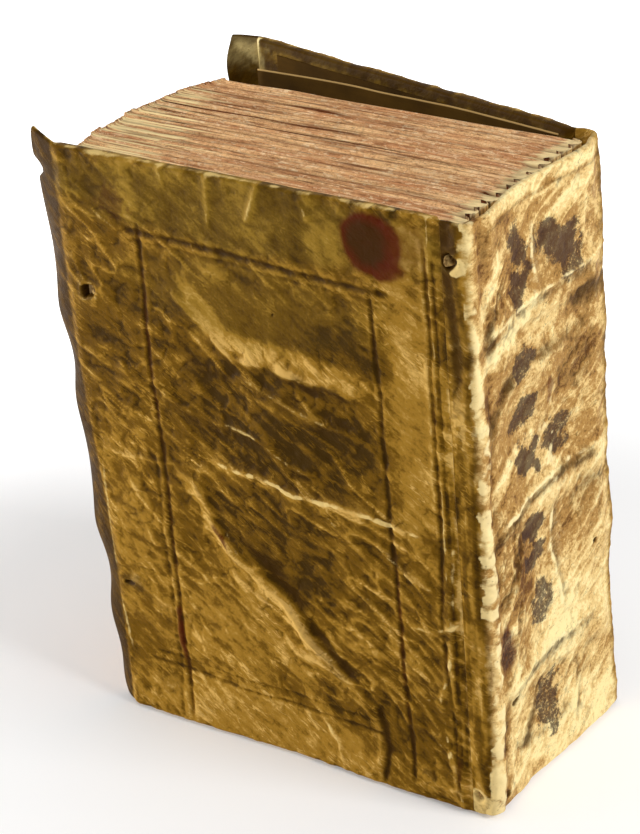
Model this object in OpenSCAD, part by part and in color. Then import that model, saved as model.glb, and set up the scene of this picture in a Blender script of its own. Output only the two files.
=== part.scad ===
// A thick little book in a limp skin cover: sewn gatherings, thin boards and turned-over fore-edge flaps.
// It stands on its tail. X runs across the leaves with the spine at +X, Y through the
// thickness with the back cover at -Y, and Z up. The origin is the middle of the tail of the leaves.

/* [Leaves] */
// Height of the leaves
leaf_h = 169; // [130:1:220]
// Greatest width of the leaves, from the spine folds to the fore-edge
leaf_w = 122; // [90:1:160]
// Thickness of all gatherings together
block_t = 59; // [40:1:80]
// Number of sewn gatherings
gatherings = 12; // [8:1:16]
// Depth of the rounded folds at the spine
fold_depth = 3.4; // [2:0.1:5]
// How far the fore-edge swells at mid thickness
fore_swell = 5; // [2:0.5:8]
// How much wider the leaves are at the back than at the front
fore_slant = 5; // [0:0.5:8]
// Unevenness of the gatherings at head and fore-edge
leaf_jog = 0.6; // [0.2:0.1:1.2]
// Thickness of the loose flyleaf inside the front cover
flyleaf_t = 0.2; // [0.15:0.01:0.2]
// How much narrower the flyleaf is than the leaves
flyleaf_short = 18; // [14:1:30]

/* [Covers] */
// How far the covers stand above the leaves at the head
head_square = 1.2; // [0.8:0.1:5]
// Thickness of the skin
skin_t = 0.7; // [0.5:0.1:1]
// Thickness of the paper boards under the skin
board_t = 1.4; // [1.2:0.1:2.5]
// Thickness of the pasted paper leaf inside each cover
paste_t = 0.25; // [0.2:0.05:0.4]
// Width of the skin turned in over the inside of the boards
turn_in = 14; // [8:1:20]
// How far the turned-over fore-edge starts beyond the boards
flap_root = 2; // [1.5:0.5:4]
// Width of the turned-over fore-edge
flap_w = 9; // [6:0.5:12]
// Angle by which the back cover's fore-edge is turned over
back_flap_turn = 27; // [15:1:40]
// Angle by which the front cover's fore-edge is turned over
front_flap_turn = 48; // [20:1:55]
// Angle at which the sprung front cover stands open
front_gape = 12; // [2:1:20]
// Distance from the spine folds to each cover's joint
joint_inset = 5; // [4:0.5:8]
// Height to which the loose skin swells off the boards
skin_lift = 0.7; // [0.3:0.1:1]

/* [Tooled frame] */
// Distance of the frame from the joint
frame_joint = 18; // [12:1:26]
// Distance of the frame from the fore-edge fold
frame_fore = 20; // [14:1:30]
// Distance of the frame from the head
frame_head = 21; // [12:1:30]
// Distance of the frame from the tail
frame_tail = 19; // [12:1:30]
// Spacing of the two lines of the frame
fillet_gap = 2.6; // [1.6:0.1:4]
// Depth of each line
fillet_depth = 0.3; // [0.15:0.05:0.4]

/* [Sewing] */
// Height of the lower sewing support
lower_band_z = 34; // [26:0.5:44]
// Height of the middle sewing support
middle_band_z = 82.5; // [66:0.5:96]
// Distance of the upper sewing support below the head of the leaves
upper_band_drop = 31.5; // [26:0.5:50]
// Width of a sewing support along the spine
band_w = 5; // [4:0.5:7]
// Thickness of a sewing support on the spine
band_t = 1.4; // [1:0.1:2]
// Length of a support's end in the cover
slip_l = 17; // [12:1:24]
// Radius of the endband thongs
thong_r = 1.3; // [1:0.1:1.6]
// Height of the upper endband thong below the head of the leaves
head_thong_drop = 9.5; // [7:0.5:14]
// Height of the lower endband thong above the tail
tail_thong_z = 6; // [4:0.5:9]

/* [Ties] */
// Distance of the upper tie hole below the head of the leaves
upper_tie_drop = 39; // [24:1:60]
// Height of the lower tie hole
lower_tie_z = 40; // [24:1:60]
// Distance of the tie holes from the boards' fore-edge
tie_inset = 3.4; // [3.2:0.1:9]
// Radius of a tie hole in the skin
tie_hole_r = 2.4; // [2:0.1:3]
// Radius of a tie's torn end
tie_r = 1.6; // [1:0.1:1.9]

/* [Hidden] */

$fn = 32;

// Clearances: between glued pieces, between leaves and covers, and at the joints
glue_gap = 0.05;
leaf_gap = 0.3;
joint_gap = 0.15;

cover_h = leaf_h + head_square;
spine_x = leaf_w / 2;
joint_x = spine_x - joint_inset;

// Depths below a cover's outer face
board_d = skin_t + glue_gap;
lining_d = board_d + board_t + glue_gap;
inner_d = lining_d + skin_t;
paste_d = inner_d + paste_t;
face_y = block_t / 2 + leaf_gap + paste_d;

// Distances from a cover's joint towards the fore-edge
board_start = 1.5;
board_end = leaf_w - joint_inset - fore_swell;
fold_head = board_end + flap_root + 4;
fold_tail = board_end + flap_root - 1;
board_inset = skin_t + glue_gap;

vellum = "#A8863F";
spine_vellum = "#DDBF80";
leaf_paper = "#C09A6C";
board_paper = "#8A6B45";
thong_skin = "#D9CFB4";

upper_band_z = leaf_h - upper_band_drop;
band_zs = [lower_band_z, middle_band_z, upper_band_z];
upper_tie_z = leaf_h - upper_tie_drop;

// Eased step from 0 to 1, a rounded bump of height 1, and evenly spaced values from a up to b
function ease(t) = let (c = max(0, min(1, t))) c * c * (3 - 2 * c);
function bump(x, centre, flat, fall) = 1 - ease((abs(x - centre) - flat) / fall);
function steps(a, b, n) = [for (i = [0 : n - 1]) a + (b - a) * i / n];

// A smooth curve through hand-placed points, with n pieces between neighbours
function curve(p, n) = [
    for (i = [0 : len(p) - 2]) each [
        for (k = [0 : n - 1])
            let (t = k / n, a = p[max(i - 1, 0)], b = p[i], c = p[i + 1], d = p[min(i + 2, len(p) - 1)])
            0.5 * (2 * b + (c - a) * t + (2 * a - 5 * b + 4 * c - d) * t * t
                   + (3 * b - a - 3 * c + d) * t * t * t)],
    p[len(p) - 1]];

// Direction across a curve at its i-th point, turned a quarter to the left
function across(p, i) =
    let (d = p[min(i + 1, len(p) - 1)] - p[max(i - 1, 0)]) [-d[1], d[0]] / norm([d[0], d[1]]);

// A closed sheet between two grids of points, each a list of equal rows
module sheet(outer, inner) {
    rows = len(outer);
    cols = len(outer[0]);
    flat_points = [for (side = [outer, inner]) each [for (row = side) each row]];
    back = rows * cols;
    at = function (i, j) i * cols + j;
    polyhedron(flat_points, [
        for (i = [0 : rows - 2], j = [0 : cols - 2]) each [
            [at(i, j), at(i + 1, j), at(i + 1, j + 1)],
            [at(i, j), at(i + 1, j + 1), at(i, j + 1)],
            [back + at(i, j), back + at(i + 1, j + 1), back + at(i + 1, j)],
            [back + at(i, j), back + at(i, j + 1), back + at(i + 1, j + 1)]],
        for (i = [0 : rows - 2]) each [
            [at(i, 0), back + at(i, 0), back + at(i + 1, 0)],
            [at(i, 0), back + at(i + 1, 0), at(i + 1, 0)],
            [at(i, cols - 1), back + at(i + 1, cols - 1), back + at(i, cols - 1)],
            [at(i, cols - 1), at(i + 1, cols - 1), back + at(i + 1, cols - 1)]],
        for (j = [0 : cols - 2]) each [
            [at(0, j), back + at(0, j + 1), back + at(0, j)],
            [at(0, j), at(0, j + 1), back + at(0, j + 1)],
            [at(rows - 1, j), back + at(rows - 1, j), back + at(rows - 1, j + 1)],
            [at(rows - 1, j), back + at(rows - 1, j + 1), at(rows - 1, j + 1)]]]);
}

// Leaves

// Edge between gatherings i - 1 and i, and the swelling outline of the fore-edge
function gathering_y(i) = block_t * ((i + 0.14 * sin(180 * 7 * i / gatherings)) / gatherings - 0.5);
function fore_x(y) = -leaf_w / 2 + fore_swell * pow(2 * y / block_t, 2) + fore_slant * y / block_t;

module gathering(i) {
    y0 = gathering_y(i);
    y1 = gathering_y(i + 1);
    jog = leaf_jog * (0.5 + 0.5 * sin(137 * i));
    fold = [for (a = steps(-90, 90, 8)) [spine_x - fold_depth * (1 - cos(a)), (y0 + y1) / 2 + (y1 - y0) / 2 * sin(a)]];
    linear_extrude(leaf_h - leaf_jog * (0.5 + 0.5 * sin(101 * i + 90)))
        polygon(concat(fold, [[spine_x - fold_depth, y1], [fore_x(y1) + jog, y1], [fore_x(y0) + jog, y0]]));
}

module text_block() {
    color(leaf_paper)
    for (i = [0 : gatherings - 1]) gathering(i);
}

// The loose flyleaf is sewn in beside the joint and lifts with the front cover: its share of the
// gape falls smoothly between two places along the cover
flyleaf_bend = [-115, 270];
function flyleaf_share(s) = 1 - ease((s - flyleaf_bend[0]) / (flyleaf_bend[1] - flyleaf_bend[0]));
function flyleaf_point(s, d, z) = let (a = front_gape * flyleaf_share(s))
    [joint_x - s * cos(a) - d * sin(a), face_y + s * sin(a) - d * cos(a), z];

module flyleaf() {
    d = face_y - block_t / 2 - glue_gap;
    end = leaf_w - flyleaf_short;
    levels = [1, leaf_h / 2, leaf_h - 0.6];
    places = concat(steps(3, end, 12), [end]);
    color(leaf_paper)
    sheet([for (z = levels) [for (s = places) flyleaf_point(s, d - flyleaf_t, z)]],
          [for (z = levels) [for (s = places) flyleaf_point(s, d, z)]]);
}

// Spine

// Half outline of the spine skin, from a joint to the middle: distance beyond the folds and depth below the cover's face
near_outline = [[-joint_inset + joint_gap, 0], [-3.6, 0.05], [-1.4, 0.1], [0.6, 0.25], [2.3, 1.1], [3.1, 3],
                [2.7, 5.6], [2.0, 9], [1.5, 16], [1.1, 24]];
far_outline = [[-joint_inset + joint_gap, 0], [-3.4, 0.05], [-1.4, 0.15], [0.5, 0.5], [2.0, 1.8], [2.7, 4],
               [2.6, 7.5], [2.3, 12], [1.8, 19]];
spine_outline = curve(concat(
    [for (p = near_outline) [p[0], p[1] - face_y]],
    [for (i = [len(far_outline) - 1 : -1 : 0]) [far_outline[i][0], face_y - far_outline[i][1]]]), 2);

spine_tail_z = 0.4;
spine_head_z = leaf_h + 0.4;
band_shoulder = band_w / 2 + 0.6;
spine_levels = concat(
    [spine_tail_z, 2.5], steps(6, lower_band_z - 7, 3),
    [for (i = [0 : 2]) each let (z = band_zs[i], next = i == 2 ? spine_head_z : band_zs[i + 1] - 7) concat(
        [z - 7, z - band_shoulder, z + band_shoulder], steps(z + 7, next, 6))],
    [spine_head_z]);

// How far the skin stands out: over the supports, in slack waves between them, and at the open head
function spine_face(y) = ease((face_y - abs(y) - 4) / 5);
function band_rise(z) = max([for (b = band_zs) bump(z, b, band_shoulder, 4)]);
function spine_out(y, z) = let (b = band_rise(z))
    spine_face(y) * (b * max(0, band_t + glue_gap - 0.25) + (1 - b) * 0.35 * (1 + sin(9 * y + 4 * z) * sin(7 * z)))
    + 1.1 * ease((z - spine_head_z + 22) / 22) * spine_face(y) * (0.5 - 0.5 * cos(360 * y / (face_y * 1.6)));
// The sunk channel beside the near corner at the head, and the wandering of that corner
function channel(y, z) = 0.8 * bump(y, -face_y, 1, 0.6) * bump(z, cover_h - 14, 5, 7);
function corner_wander(y, z) = 0.45 * bump(abs(y), face_y - 4, 2, 4) * (1 + sin(5.3 * z) * cos(2.1 * z));

module spine_skin() {
    n = len(spine_outline);
    outer = [for (z = spine_levels) [for (i = [0 : n - 1])
        let (p = spine_outline[i], y = p[1], end = 1 - ease((z - spine_tail_z) / 8))
        [spine_x + p[0] + spine_out(y, z) + corner_wander(y, z), y + channel(y, z),
         z + end * (0.7 + 0.7 * sin(7 * y + 40)) * spine_face(y)]]];
    inner = [for (row = outer) [for (i = [0 : n - 1])
        let (c = across([for (q = row) [q[0], q[1]]], i))
        [row[i][0] + skin_t * c[0], row[i][1] + skin_t * c[1], row[i][2]]]];
    color(spine_vellum)
    difference() {
        sheet(outer, inner);
        thong_hole(leaf_h - head_thong_drop);
        thong_hole(tail_thong_z);
    }
}

thong_x = spine_x - 2.2;
module thong_hole(z) {
    translate([thong_x, -face_y - 1, z]) rotate([-90, 0, 0]) cylinder(h = 3, r = thong_r + 0.3);
}

// A broken endband thong that rests on the first gathering and ends in its hole in the skin
module endband_thong(z) {
    length = face_y - block_t / 2 - leaf_gap;
    color(thong_skin)
    translate([thong_x, -block_t / 2 - 0.1, z]) rotate([90, 0, 0]) cylinder(h = length, r = thong_r);
}

module head_endband_thong() { endband_thong(leaf_h - head_thong_drop); }
module tail_endband_thong() { endband_thong(tail_thong_z); }

// A flat thong across the spine folds whose two ends turn round the corners to the joints
module sewing_support(z) {
    end_t = 0.8;
    end_y = face_y - skin_t - 0.45;
    bevel = end_t * [1.75, 2.4];
    outer_x = spine_x + band_t;
    color(thong_skin)
    translate([0, 0, z - band_w / 2]) linear_extrude(band_w) difference() {
        polygon([[joint_x + 0.6, -end_y], [outer_x - bevel[0], -end_y], [outer_x, -end_y + bevel[1]],
                 [outer_x, end_y - bevel[1]], [outer_x - bevel[0], end_y], [joint_x + 0.6, end_y]]);
        translate([joint_x, -end_y + end_t]) square([spine_x + glue_gap - joint_x, 2 * (end_y - end_t)]);
    }
}

module lower_sewing_support() { sewing_support(lower_band_z); }
module middle_sewing_support() { sewing_support(middle_band_z); }
module upper_sewing_support() { sewing_support(upper_band_z); }

// Covers, drawn with X from the joint to the fore-edge and Y from the outer face inwards

flap_levels = concat(steps(0, 8, 4), steps(8, cover_h - 14, 20), steps(cover_h - 14, cover_h, 6), [cover_h]);

// The fold at the fore-edge, the wavy width of the flap beyond it, and the angle it is turned by
function fold_s(z) = fold_tail + (fold_head - fold_tail) * ease((z - 0.2 * cover_h) / (0.55 * cover_h));
function flap_width(z) = (flap_w + 1.7 * cos(360 * (z - 0.34 * cover_h) / (0.54 * cover_h)) + 0.7 * sin(16 * z))
    * (0.35 + 0.65 * sqrt(1 - pow(1 - min(1, z / 8), 2)))
    * (1 - 0.3 * bump(z, cover_h - 9, 0.5, 3));
function flap_angle(turn, z) = turn * (1 - 0.6 * ease((z - cover_h + 12) / 12)) + 4 * sin(11 * z);

// The doubled skin turned over at the fore-edge, rooted inside the cover's edge
module flap(turn) {
    shares = [0.02, 0.35, 0.75, 1];
    outer = [for (z = flap_levels)
        let (f = fold_s(z), a = flap_angle(turn, z), w = flap_width(z), rise = 2.6 * ease((z - cover_h + 4) / 4))
        concat([[f - 1.5, 0.3, z]], [for (k = shares) let (b = a * (0.6 + 0.4 * k))
            [f + k * w * cos(b), 0.03 + k * w * sin(b), min(max(z, 0.05), cover_h - 0.05) + rise * k]])];
    inner = [for (i = [0 : len(outer) - 1]) let (a = flap_angle(turn, flap_levels[i]))
        [for (j = [0 : len(shares)]) let (q = outer[i][j], t = j == 0 ? 0.5 : 2 * skin_t)
            [q[0] - t * sin(a), q[1] + t * cos(a), q[2]]]];
    sheet(outer, inner);
}

// Rows of points across a cover, drawn between lines that run from the joint to the fore-edge. Each
// line holds its heights along shares of the width, the height of the sharp fold that stands on it,
// how much the loose skin swells between it and the next line, and the shares at which rows follow it.
wide_rows = [0, 0.14, 0.38, 0.62, 0.86];
line_side = 0.7;
frame_far = fold_tail - frame_fore;
frame_top = cover_h - frame_head;
function share_of(s) = (s - joint_gap) / (fold_tail - joint_gap);
function panel_z(share) = frame_tail + 3 + share * (frame_top - frame_tail - 6);
function inside(line) = [[for (p = line[0]) [p[0], panel_z(p[1])]], line[1], line[2], wide_rows];
function plain_line(z, loose, rows) = [[[0, z]], [[0, 0]], loose, rows];
function pressed_line(z, from, to) = [[[0, z]], [[share_of(from) - 0.01, 0], [share_of(from), -fillet_depth],
                                      [share_of(to), -fillet_depth], [share_of(to) + 0.01, 0]], 0, [0]];
// Two pressed lines side by side, which run from one place to another across the cover
function fillet_lines(z, from, to, loose) = [
    plain_line(z - fillet_gap / 2 - line_side, 0, [0]), pressed_line(z - fillet_gap / 2, from, to), plain_line(z, 0, [0]),
    pressed_line(z + fillet_gap / 2, from, to), plain_line(z + fillet_gap / 2 + line_side, loose, wide_rows)];

function pressed(s, z) = let (near = min([for (x = [frame_joint, frame_far], k = [-0.5, 0.5]) abs(s - x - k * fillet_gap)]))
    near < 0.01 && z > 3 && z < cover_h - 9 ? fillet_depth : 0;
function swell(x, edges) = max([for (i = [0 : len(edges) - 2])
    x < edges[i] || x > edges[i + 1] ? 0 : sin(180 * (x - edges[i]) / (edges[i + 1] - edges[i]))]);

function columns(fold) = concat([joint_gap], steps(3, frame_joint - 2.5, 3),
    [for (k = [-0.5, 0.5], side = [-1, 0, 1]) frame_joint + k * fillet_gap + side * line_side * (side * k > 0 ? 1 : 0.8)],
    steps(frame_joint + 5, frame_far - 2, 11),
    [for (k = [-0.5, 0.5], side = [-1, 0, 1]) frame_far + k * fillet_gap + side * line_side * (side * k > 0 ? 1 : 0.8)],
    steps(frame_far + 5, fold, 3), [fold]);
shares_across = [for (s = columns(fold_tail)) share_of(s)];

function face_row(low, high, t) = [for (j = [0 : len(shares_across) - 1]) let (
    u = shares_across[j], z0 = lookup(u, low[0]), z = z0 + t * (lookup(u, high[0]) - z0),
    edge = fold_s(z), s = columns(edge)[j],
    fold = lookup(u, low[1]) * max(0, 1 - t / 0.3) + lookup(u, high[1]) * max(0, 1 - (1 - t) / 0.3),
    loose = skin_lift * low[2] * sin(180 * t) * swell(s, [3, frame_joint - 3, frame_joint + 3, frame_far - 3, frame_far + 3, edge])
            * (abs(s - frame_joint) < 2.5 || abs(s - frame_far) < 2.5 ? 0 : 0.7 + 0.3 * sin(6 * s + 2.3 * z)))
    [s, pressed(s, z) - fold - loose, z]];

// The body of a cover's skin: a relief of rows in front, straight walls and a flat inner face
module relief(lines) {
    front = [for (i = [0 : len(lines) - 2]) each [for (t = lines[i][3]) face_row(lines[i], lines[i + 1], t)],
             face_row(lines[len(lines) - 1], lines[len(lines) - 1], 0)];
    rows = len(front);
    cols = len(front[0]);
    joint_foot = [for (row = front) [row[0][0], inner_d, row[0][2]]];
    flap_foot = [for (row = front) [board_end + 1, inner_d, row[cols - 1][2]]];
    at = function (i, j) i * cols + j;
    joint_at = function (i) rows * cols + i;
    flap_at = function (i) rows * cols + rows + i;
    last = rows - 1;
    side = cols - 1;
    polyhedron(concat([for (row = front) each row], joint_foot, flap_foot), [
        for (i = [0 : last - 1], j = [0 : side - 1]) each [
            [at(i, j), at(i + 1, j), at(i + 1, j + 1)],
            [at(i, j), at(i + 1, j + 1), at(i, j + 1)]],
        for (i = [0 : last - 1]) each [
            [at(i + 1, 0), at(i, 0), joint_at(i)],
            [at(i + 1, 0), joint_at(i), joint_at(i + 1)],
            [at(i, side), at(i + 1, side), flap_at(i)],
            [at(i + 1, side), flap_at(i + 1), flap_at(i)],
            [joint_at(i), flap_at(i), flap_at(i + 1)],
            [joint_at(i), flap_at(i + 1), joint_at(i + 1)]],
        for (j = [0 : side - 1]) each [
            [at(0, j), at(0, j + 1), joint_at(0)],
            [at(last, j + 1), at(last, j), joint_at(last)]],
        [at(0, side), flap_at(0), joint_at(0)],
        [at(last, side), joint_at(last), flap_at(last)]]);
}

tie_x = board_end - tie_inset;
module tie_hole(z, r, start, depth) {
    translate([tie_x, start, z]) rotate([-90, 0, 0]) cylinder(h = depth, r = r);
}

// The skin of one cover: outer face, flap and turned-in margins round the board
module cover_skin(turn, folds) {
    lines = concat([plain_line(0, 0.6, wide_rows)], fillet_lines(frame_tail, 8, frame_far + 12, 0.8),
                   [for (f = folds) inside(f)], fillet_lines(frame_top, 10, frame_far + 14, 0.5), [plain_line(cover_h, 0, [0])]);
    difference() {
        union() {
            relief(lines);
            flap(turn);
        }
        translate([joint_gap - 1, board_d - glue_gap, board_inset - glue_gap])
            cube([board_end + glue_gap - joint_gap + 1, lining_d - board_d + glue_gap, cover_h - 2 * board_inset + 2 * glue_gap]);
        translate([-1, lining_d - 1, turn_in]) cube([board_end - turn_in + 1, skin_t + 2, cover_h - 2 * turn_in]);
        translate([-1, skin_t, -1]) cube([board_start + 1, 10, cover_h + 2]);
        tie_hole(upper_tie_z, tie_hole_r, -3, 3 + board_d + 0.2);
        tie_hole(lower_tie_z, tie_hole_r, -3, 3 + board_d + 0.2);
    }
}

slip_w = band_w + 2;
slip_t = 0.6;
slip_hole_r = 2;
slip_hole_s = slip_l - slip_hole_r;

module board() {
    difference() {
        translate([board_start, board_d, board_inset])
            cube([board_end - board_start, board_t, cover_h - 2 * board_inset]);
        for (z = band_zs) {
            translate([board_start - 1, board_d - 1, z - slip_w / 2 - glue_gap])
                cube([slip_l + glue_gap - board_start + 1, slip_t + glue_gap + 1, slip_w + 2 * glue_gap]);
            translate([slip_hole_s, board_d, z]) rotate([-90, 0, 0]) cylinder(h = board_t + 1, r = slip_hole_r + glue_gap);
        }
        tie_hole(upper_tie_z, tie_r + glue_gap, board_d - 1, board_t + 2);
        tie_hole(lower_tie_z, tie_r + glue_gap, board_d - 1, board_t + 2);
    }
}

// The end of a sewing support, let into the board's face and passed through its hole
module slip(z) {
    translate([board_start, board_d, z - slip_w / 2]) cube([slip_l - board_start, slip_t, slip_w]);
    translate([slip_hole_s, board_d, z]) rotate([-90, 0, 0]) cylinder(h = board_t, r = slip_hole_r);
}

module tie_end(z) {
    tie_hole(z, tie_r, 0.15, lining_d - glue_gap - 0.15);
}

// The paper leaf pasted over the board and the turned-in margins, a shallow tray in form
module pastedown() {
    paste_inset = 3;
    length = board_end - paste_inset - board_start;
    height = cover_h - 2 * paste_inset;
    bay_end = board_end - turn_in - glue_gap;
    bay_z = turn_in + glue_gap;
    difference() {
        union() {
            translate([board_start, inner_d, paste_inset]) cube([length, paste_t, height]);
            translate([board_start, lining_d, bay_z]) cube([bay_end - board_start, skin_t + paste_t, cover_h - 2 * bay_z]);
        }
        translate([board_start - 1, lining_d + paste_t, bay_z + paste_t])
            cube([bay_end - paste_t - board_start + 1, skin_t + paste_t, cover_h - 2 * (bay_z + paste_t)]);
    }
}

module at_back() { translate([joint_x, -face_y, 0]) mirror([1, 0, 0]) children(); }
module at_front() { translate([joint_x, face_y, 0]) rotate([0, 0, 180 - front_gape]) children(); }

// Lines across the panel inside each frame, from the tail up: shares of the panel's height along
// shares of the width, the height of the fold on the line, and the swelling above it
back_folds = [
    [[[0, 0.05], [0.15, 0.04], [0.3, 0.065], [0.41, 0.12], [0.48, 0.185], [0.58, 0.265], [0.68, 0.33], [0.73, 0.41],
      [0.8, 0.46], [1, 0.46]], [[0.12, 0], [0.3, 0.8], [0.45, 1.2], [0.7, 1.2], [0.8, 0.5], [0.88, 0]], 1],
    [[[0, 0.43], [0.1, 0.45], [0.2, 0.5], [0.36, 0.51], [0.52, 0.52], [0.68, 0.53], [0.76, 0.515], [0.84, 0.505],
      [1, 0.515]], [[0.1, 0], [0.2, 0.5], [0.4, 1], [0.6, 1], [0.8, 0.4], [0.88, 0]], 0.6],
    [[[0, 0.54], [0.38, 0.565], [0.48, 0.59], [0.6, 0.615], [0.74, 0.65], [0.85, 0.705], [1, 0.73]],
     [[0.2, 0], [0.35, 0.4], [0.55, 0.9], [0.75, 0.7], [0.9, 0]], 0.7],
    [[[0, 0.76], [0.23, 0.77], [0.4, 0.78], [0.57, 0.77], [0.65, 0.795], [0.73, 0.85], [0.8, 0.885], [1, 0.93]],
     [[0.15, 0], [0.3, 0.4], [0.6, 0.7], [0.75, 0.7], [0.88, 0]], 1]];
front_folds = [
    [[[0, 0.18], [0.4, 0.22], [0.7, 0.34], [1, 0.4]], [[0.15, 0], [0.4, 0.7], [0.7, 0.8], [0.9, 0]], 1],
    [[[0, 0.55], [0.4, 0.6], [0.8, 0.7], [1, 0.72]], [[0.15, 0], [0.5, 0.8], [0.75, 0.5], [0.9, 0]], 0.8]];

module back_cover_skin() { color(vellum) at_back() cover_skin(back_flap_turn, back_folds); }
module back_board() { color(board_paper) at_back() board(); }
module back_pastedown() { color(leaf_paper) at_back() pastedown(); }
module back_lower_slip() { color(thong_skin) at_back() slip(lower_band_z); }
module back_middle_slip() { color(thong_skin) at_back() slip(middle_band_z); }
module back_upper_slip() { color(thong_skin) at_back() slip(upper_band_z); }
module back_lower_tie_end() { color(thong_skin) at_back() tie_end(lower_tie_z); }
module back_upper_tie_end() { color(thong_skin) at_back() tie_end(upper_tie_z); }

module front_cover_skin() { color(vellum) at_front() cover_skin(front_flap_turn, front_folds); }
module front_board() { color(board_paper) at_front() board(); }
module front_pastedown() { color(leaf_paper) at_front() pastedown(); }
module front_lower_slip() { color(thong_skin) at_front() slip(lower_band_z); }
module front_middle_slip() { color(thong_skin) at_front() slip(middle_band_z); }
module front_upper_slip() { color(thong_skin) at_front() slip(upper_band_z); }

text_block();
flyleaf();
spine_skin();
lower_sewing_support();
middle_sewing_support();
upper_sewing_support();
head_endband_thong();
tail_endband_thong();
back_cover_skin();
back_board();
back_pastedown();
back_lower_slip();
back_middle_slip();
back_upper_slip();
back_lower_tie_end();
back_upper_tie_end();
front_cover_skin();
front_board();
front_pastedown();
front_lower_slip();
front_middle_slip();
front_upper_slip();
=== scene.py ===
"""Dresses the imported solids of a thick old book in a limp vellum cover.

Lengths are written in millimetres and turned to metres when a mesh is made. X runs across the
leaves with the spine at +X, Y through the thickness with the back cover at -Y, and Z up.
A place on a cover is (s, z): s runs from the joint towards the fore-edge, z from the tail up.
"""
import logging
import math
from dataclasses import dataclass, field, replace
from enum import Enum

import bpy
import numpy as np
from mathutils import Matrix, Vector

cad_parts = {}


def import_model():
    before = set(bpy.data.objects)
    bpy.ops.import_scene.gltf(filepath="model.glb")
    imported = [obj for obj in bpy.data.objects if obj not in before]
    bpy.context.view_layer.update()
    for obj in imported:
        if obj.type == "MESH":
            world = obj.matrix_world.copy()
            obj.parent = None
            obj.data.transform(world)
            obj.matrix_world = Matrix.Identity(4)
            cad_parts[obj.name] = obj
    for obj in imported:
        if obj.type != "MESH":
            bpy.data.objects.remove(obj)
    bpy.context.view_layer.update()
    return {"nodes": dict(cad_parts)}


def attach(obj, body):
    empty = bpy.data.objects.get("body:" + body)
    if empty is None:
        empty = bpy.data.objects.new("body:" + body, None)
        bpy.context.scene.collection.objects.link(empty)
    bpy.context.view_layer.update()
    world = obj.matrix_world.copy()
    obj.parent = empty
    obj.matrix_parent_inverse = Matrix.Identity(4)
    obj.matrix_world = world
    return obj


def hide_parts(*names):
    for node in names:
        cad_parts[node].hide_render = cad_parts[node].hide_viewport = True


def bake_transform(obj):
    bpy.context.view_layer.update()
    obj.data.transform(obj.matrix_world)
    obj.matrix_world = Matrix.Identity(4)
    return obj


log = logging.getLogger("book")
MM = 0.001
# Steps along each side of a random table, and the distance given to a place that nothing is near
TABLE = 256
FAR = 1e9
# Radius of the skin's edge, and the height above its surroundings that gives a crest one step of painted
# highlight (a hollow as deep gets one step of painted shade)
EDGE = 0.9
PROUD = 0.3

Places = tuple[tuple[float, float], ...]


class Paint(Enum):
    """What is painted on a piece, one number at each point of its mesh."""

    # PALE carries wear and painted highlights, DARK dirt, stains and painted shade, and GLOW an olive tint
    # with calmer grain below 1 and a painted glow of light through the skin from 1 up.
    TONE = "tone"
    PALE = "pale"
    DARK = "dark"
    RED = "red"
    INK = "ink"
    BONE = "bone"
    GLOW = "glow"


class Side(Enum):
    """Which cover a piece belongs to."""

    BACK = "back"
    FRONT = "front"


@dataclass(frozen=True)
class BookSizes:
    """The solids' own sizes in millimetres, as the part's source names them."""

    leaf_h: float = 169.0
    leaf_w: float = 122.0
    block_t: float = 59.0
    gatherings: int = 12
    fold_depth: float = 3.4
    fore_swell: float = 5.0
    fore_slant: float = 5.0
    leaf_jog: float = 0.6
    cover_h: float = 170.2
    skin_t: float = 0.7
    face_y: float = 32.95
    spine_x: float = 61.0
    joint_x: float = 56.0
    gape: float = 12.0
    back_flap_turn: float = 27.0
    front_flap_turn: float = 48.0
    flap_w: float = 9.0
    board_end: float = 112.0
    inner_d: float = 2.9
    turn_in: float = 14.0
    fold_tail: float = 113.0
    fold_head: float = 118.0
    tie_s: float = 108.6
    band_zs: tuple[float, float, float] = (34.0, 82.5, 137.5)
    band_w: float = 5.0
    thong_x: float = 58.8


SIZES = BookSizes()


def linear(colour: str) -> tuple[float, float, float, float]:
    """Turns an sRGB hex colour to linear red, green, blue and alpha.

    Args:
        colour: such as "#C8A75C".

    Returns:
        Linear values for a shader socket.
    """
    parts = [int(colour[i:i + 2], 16) / 255 for i in (1, 3, 5)]
    red, green, blue = (p / 12.92 if p <= 0.04045 else ((p + 0.055) / 1.055) ** 2.4 for p in parts)
    return (red, green, blue, 1.0)


def ease(t: np.ndarray | float) -> np.ndarray:
    """Smooth step from 0 to 1, t t (3 - 2 t) between."""
    c = np.clip(t, 0.0, 1.0)
    return c * c * (3 - 2 * c)


def bump(x: np.ndarray, centre: float, flat: float, fall: float) -> np.ndarray:
    """A rounded bump of height 1: flat within `flat` of the centre, gone `fall` beyond."""
    return 1 - ease((np.abs(x - centre) - flat) / fall)


def bell(x: np.ndarray, width: float) -> np.ndarray:
    """A bell of height 1 over 0: exp of minus (x / width) squared."""
    return np.exp(-(x / width) ** 2)


def degrees_sine(angle: np.ndarray | float) -> np.ndarray:
    """Sine of an angle in degrees."""
    return np.sin(np.radians(angle))


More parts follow.
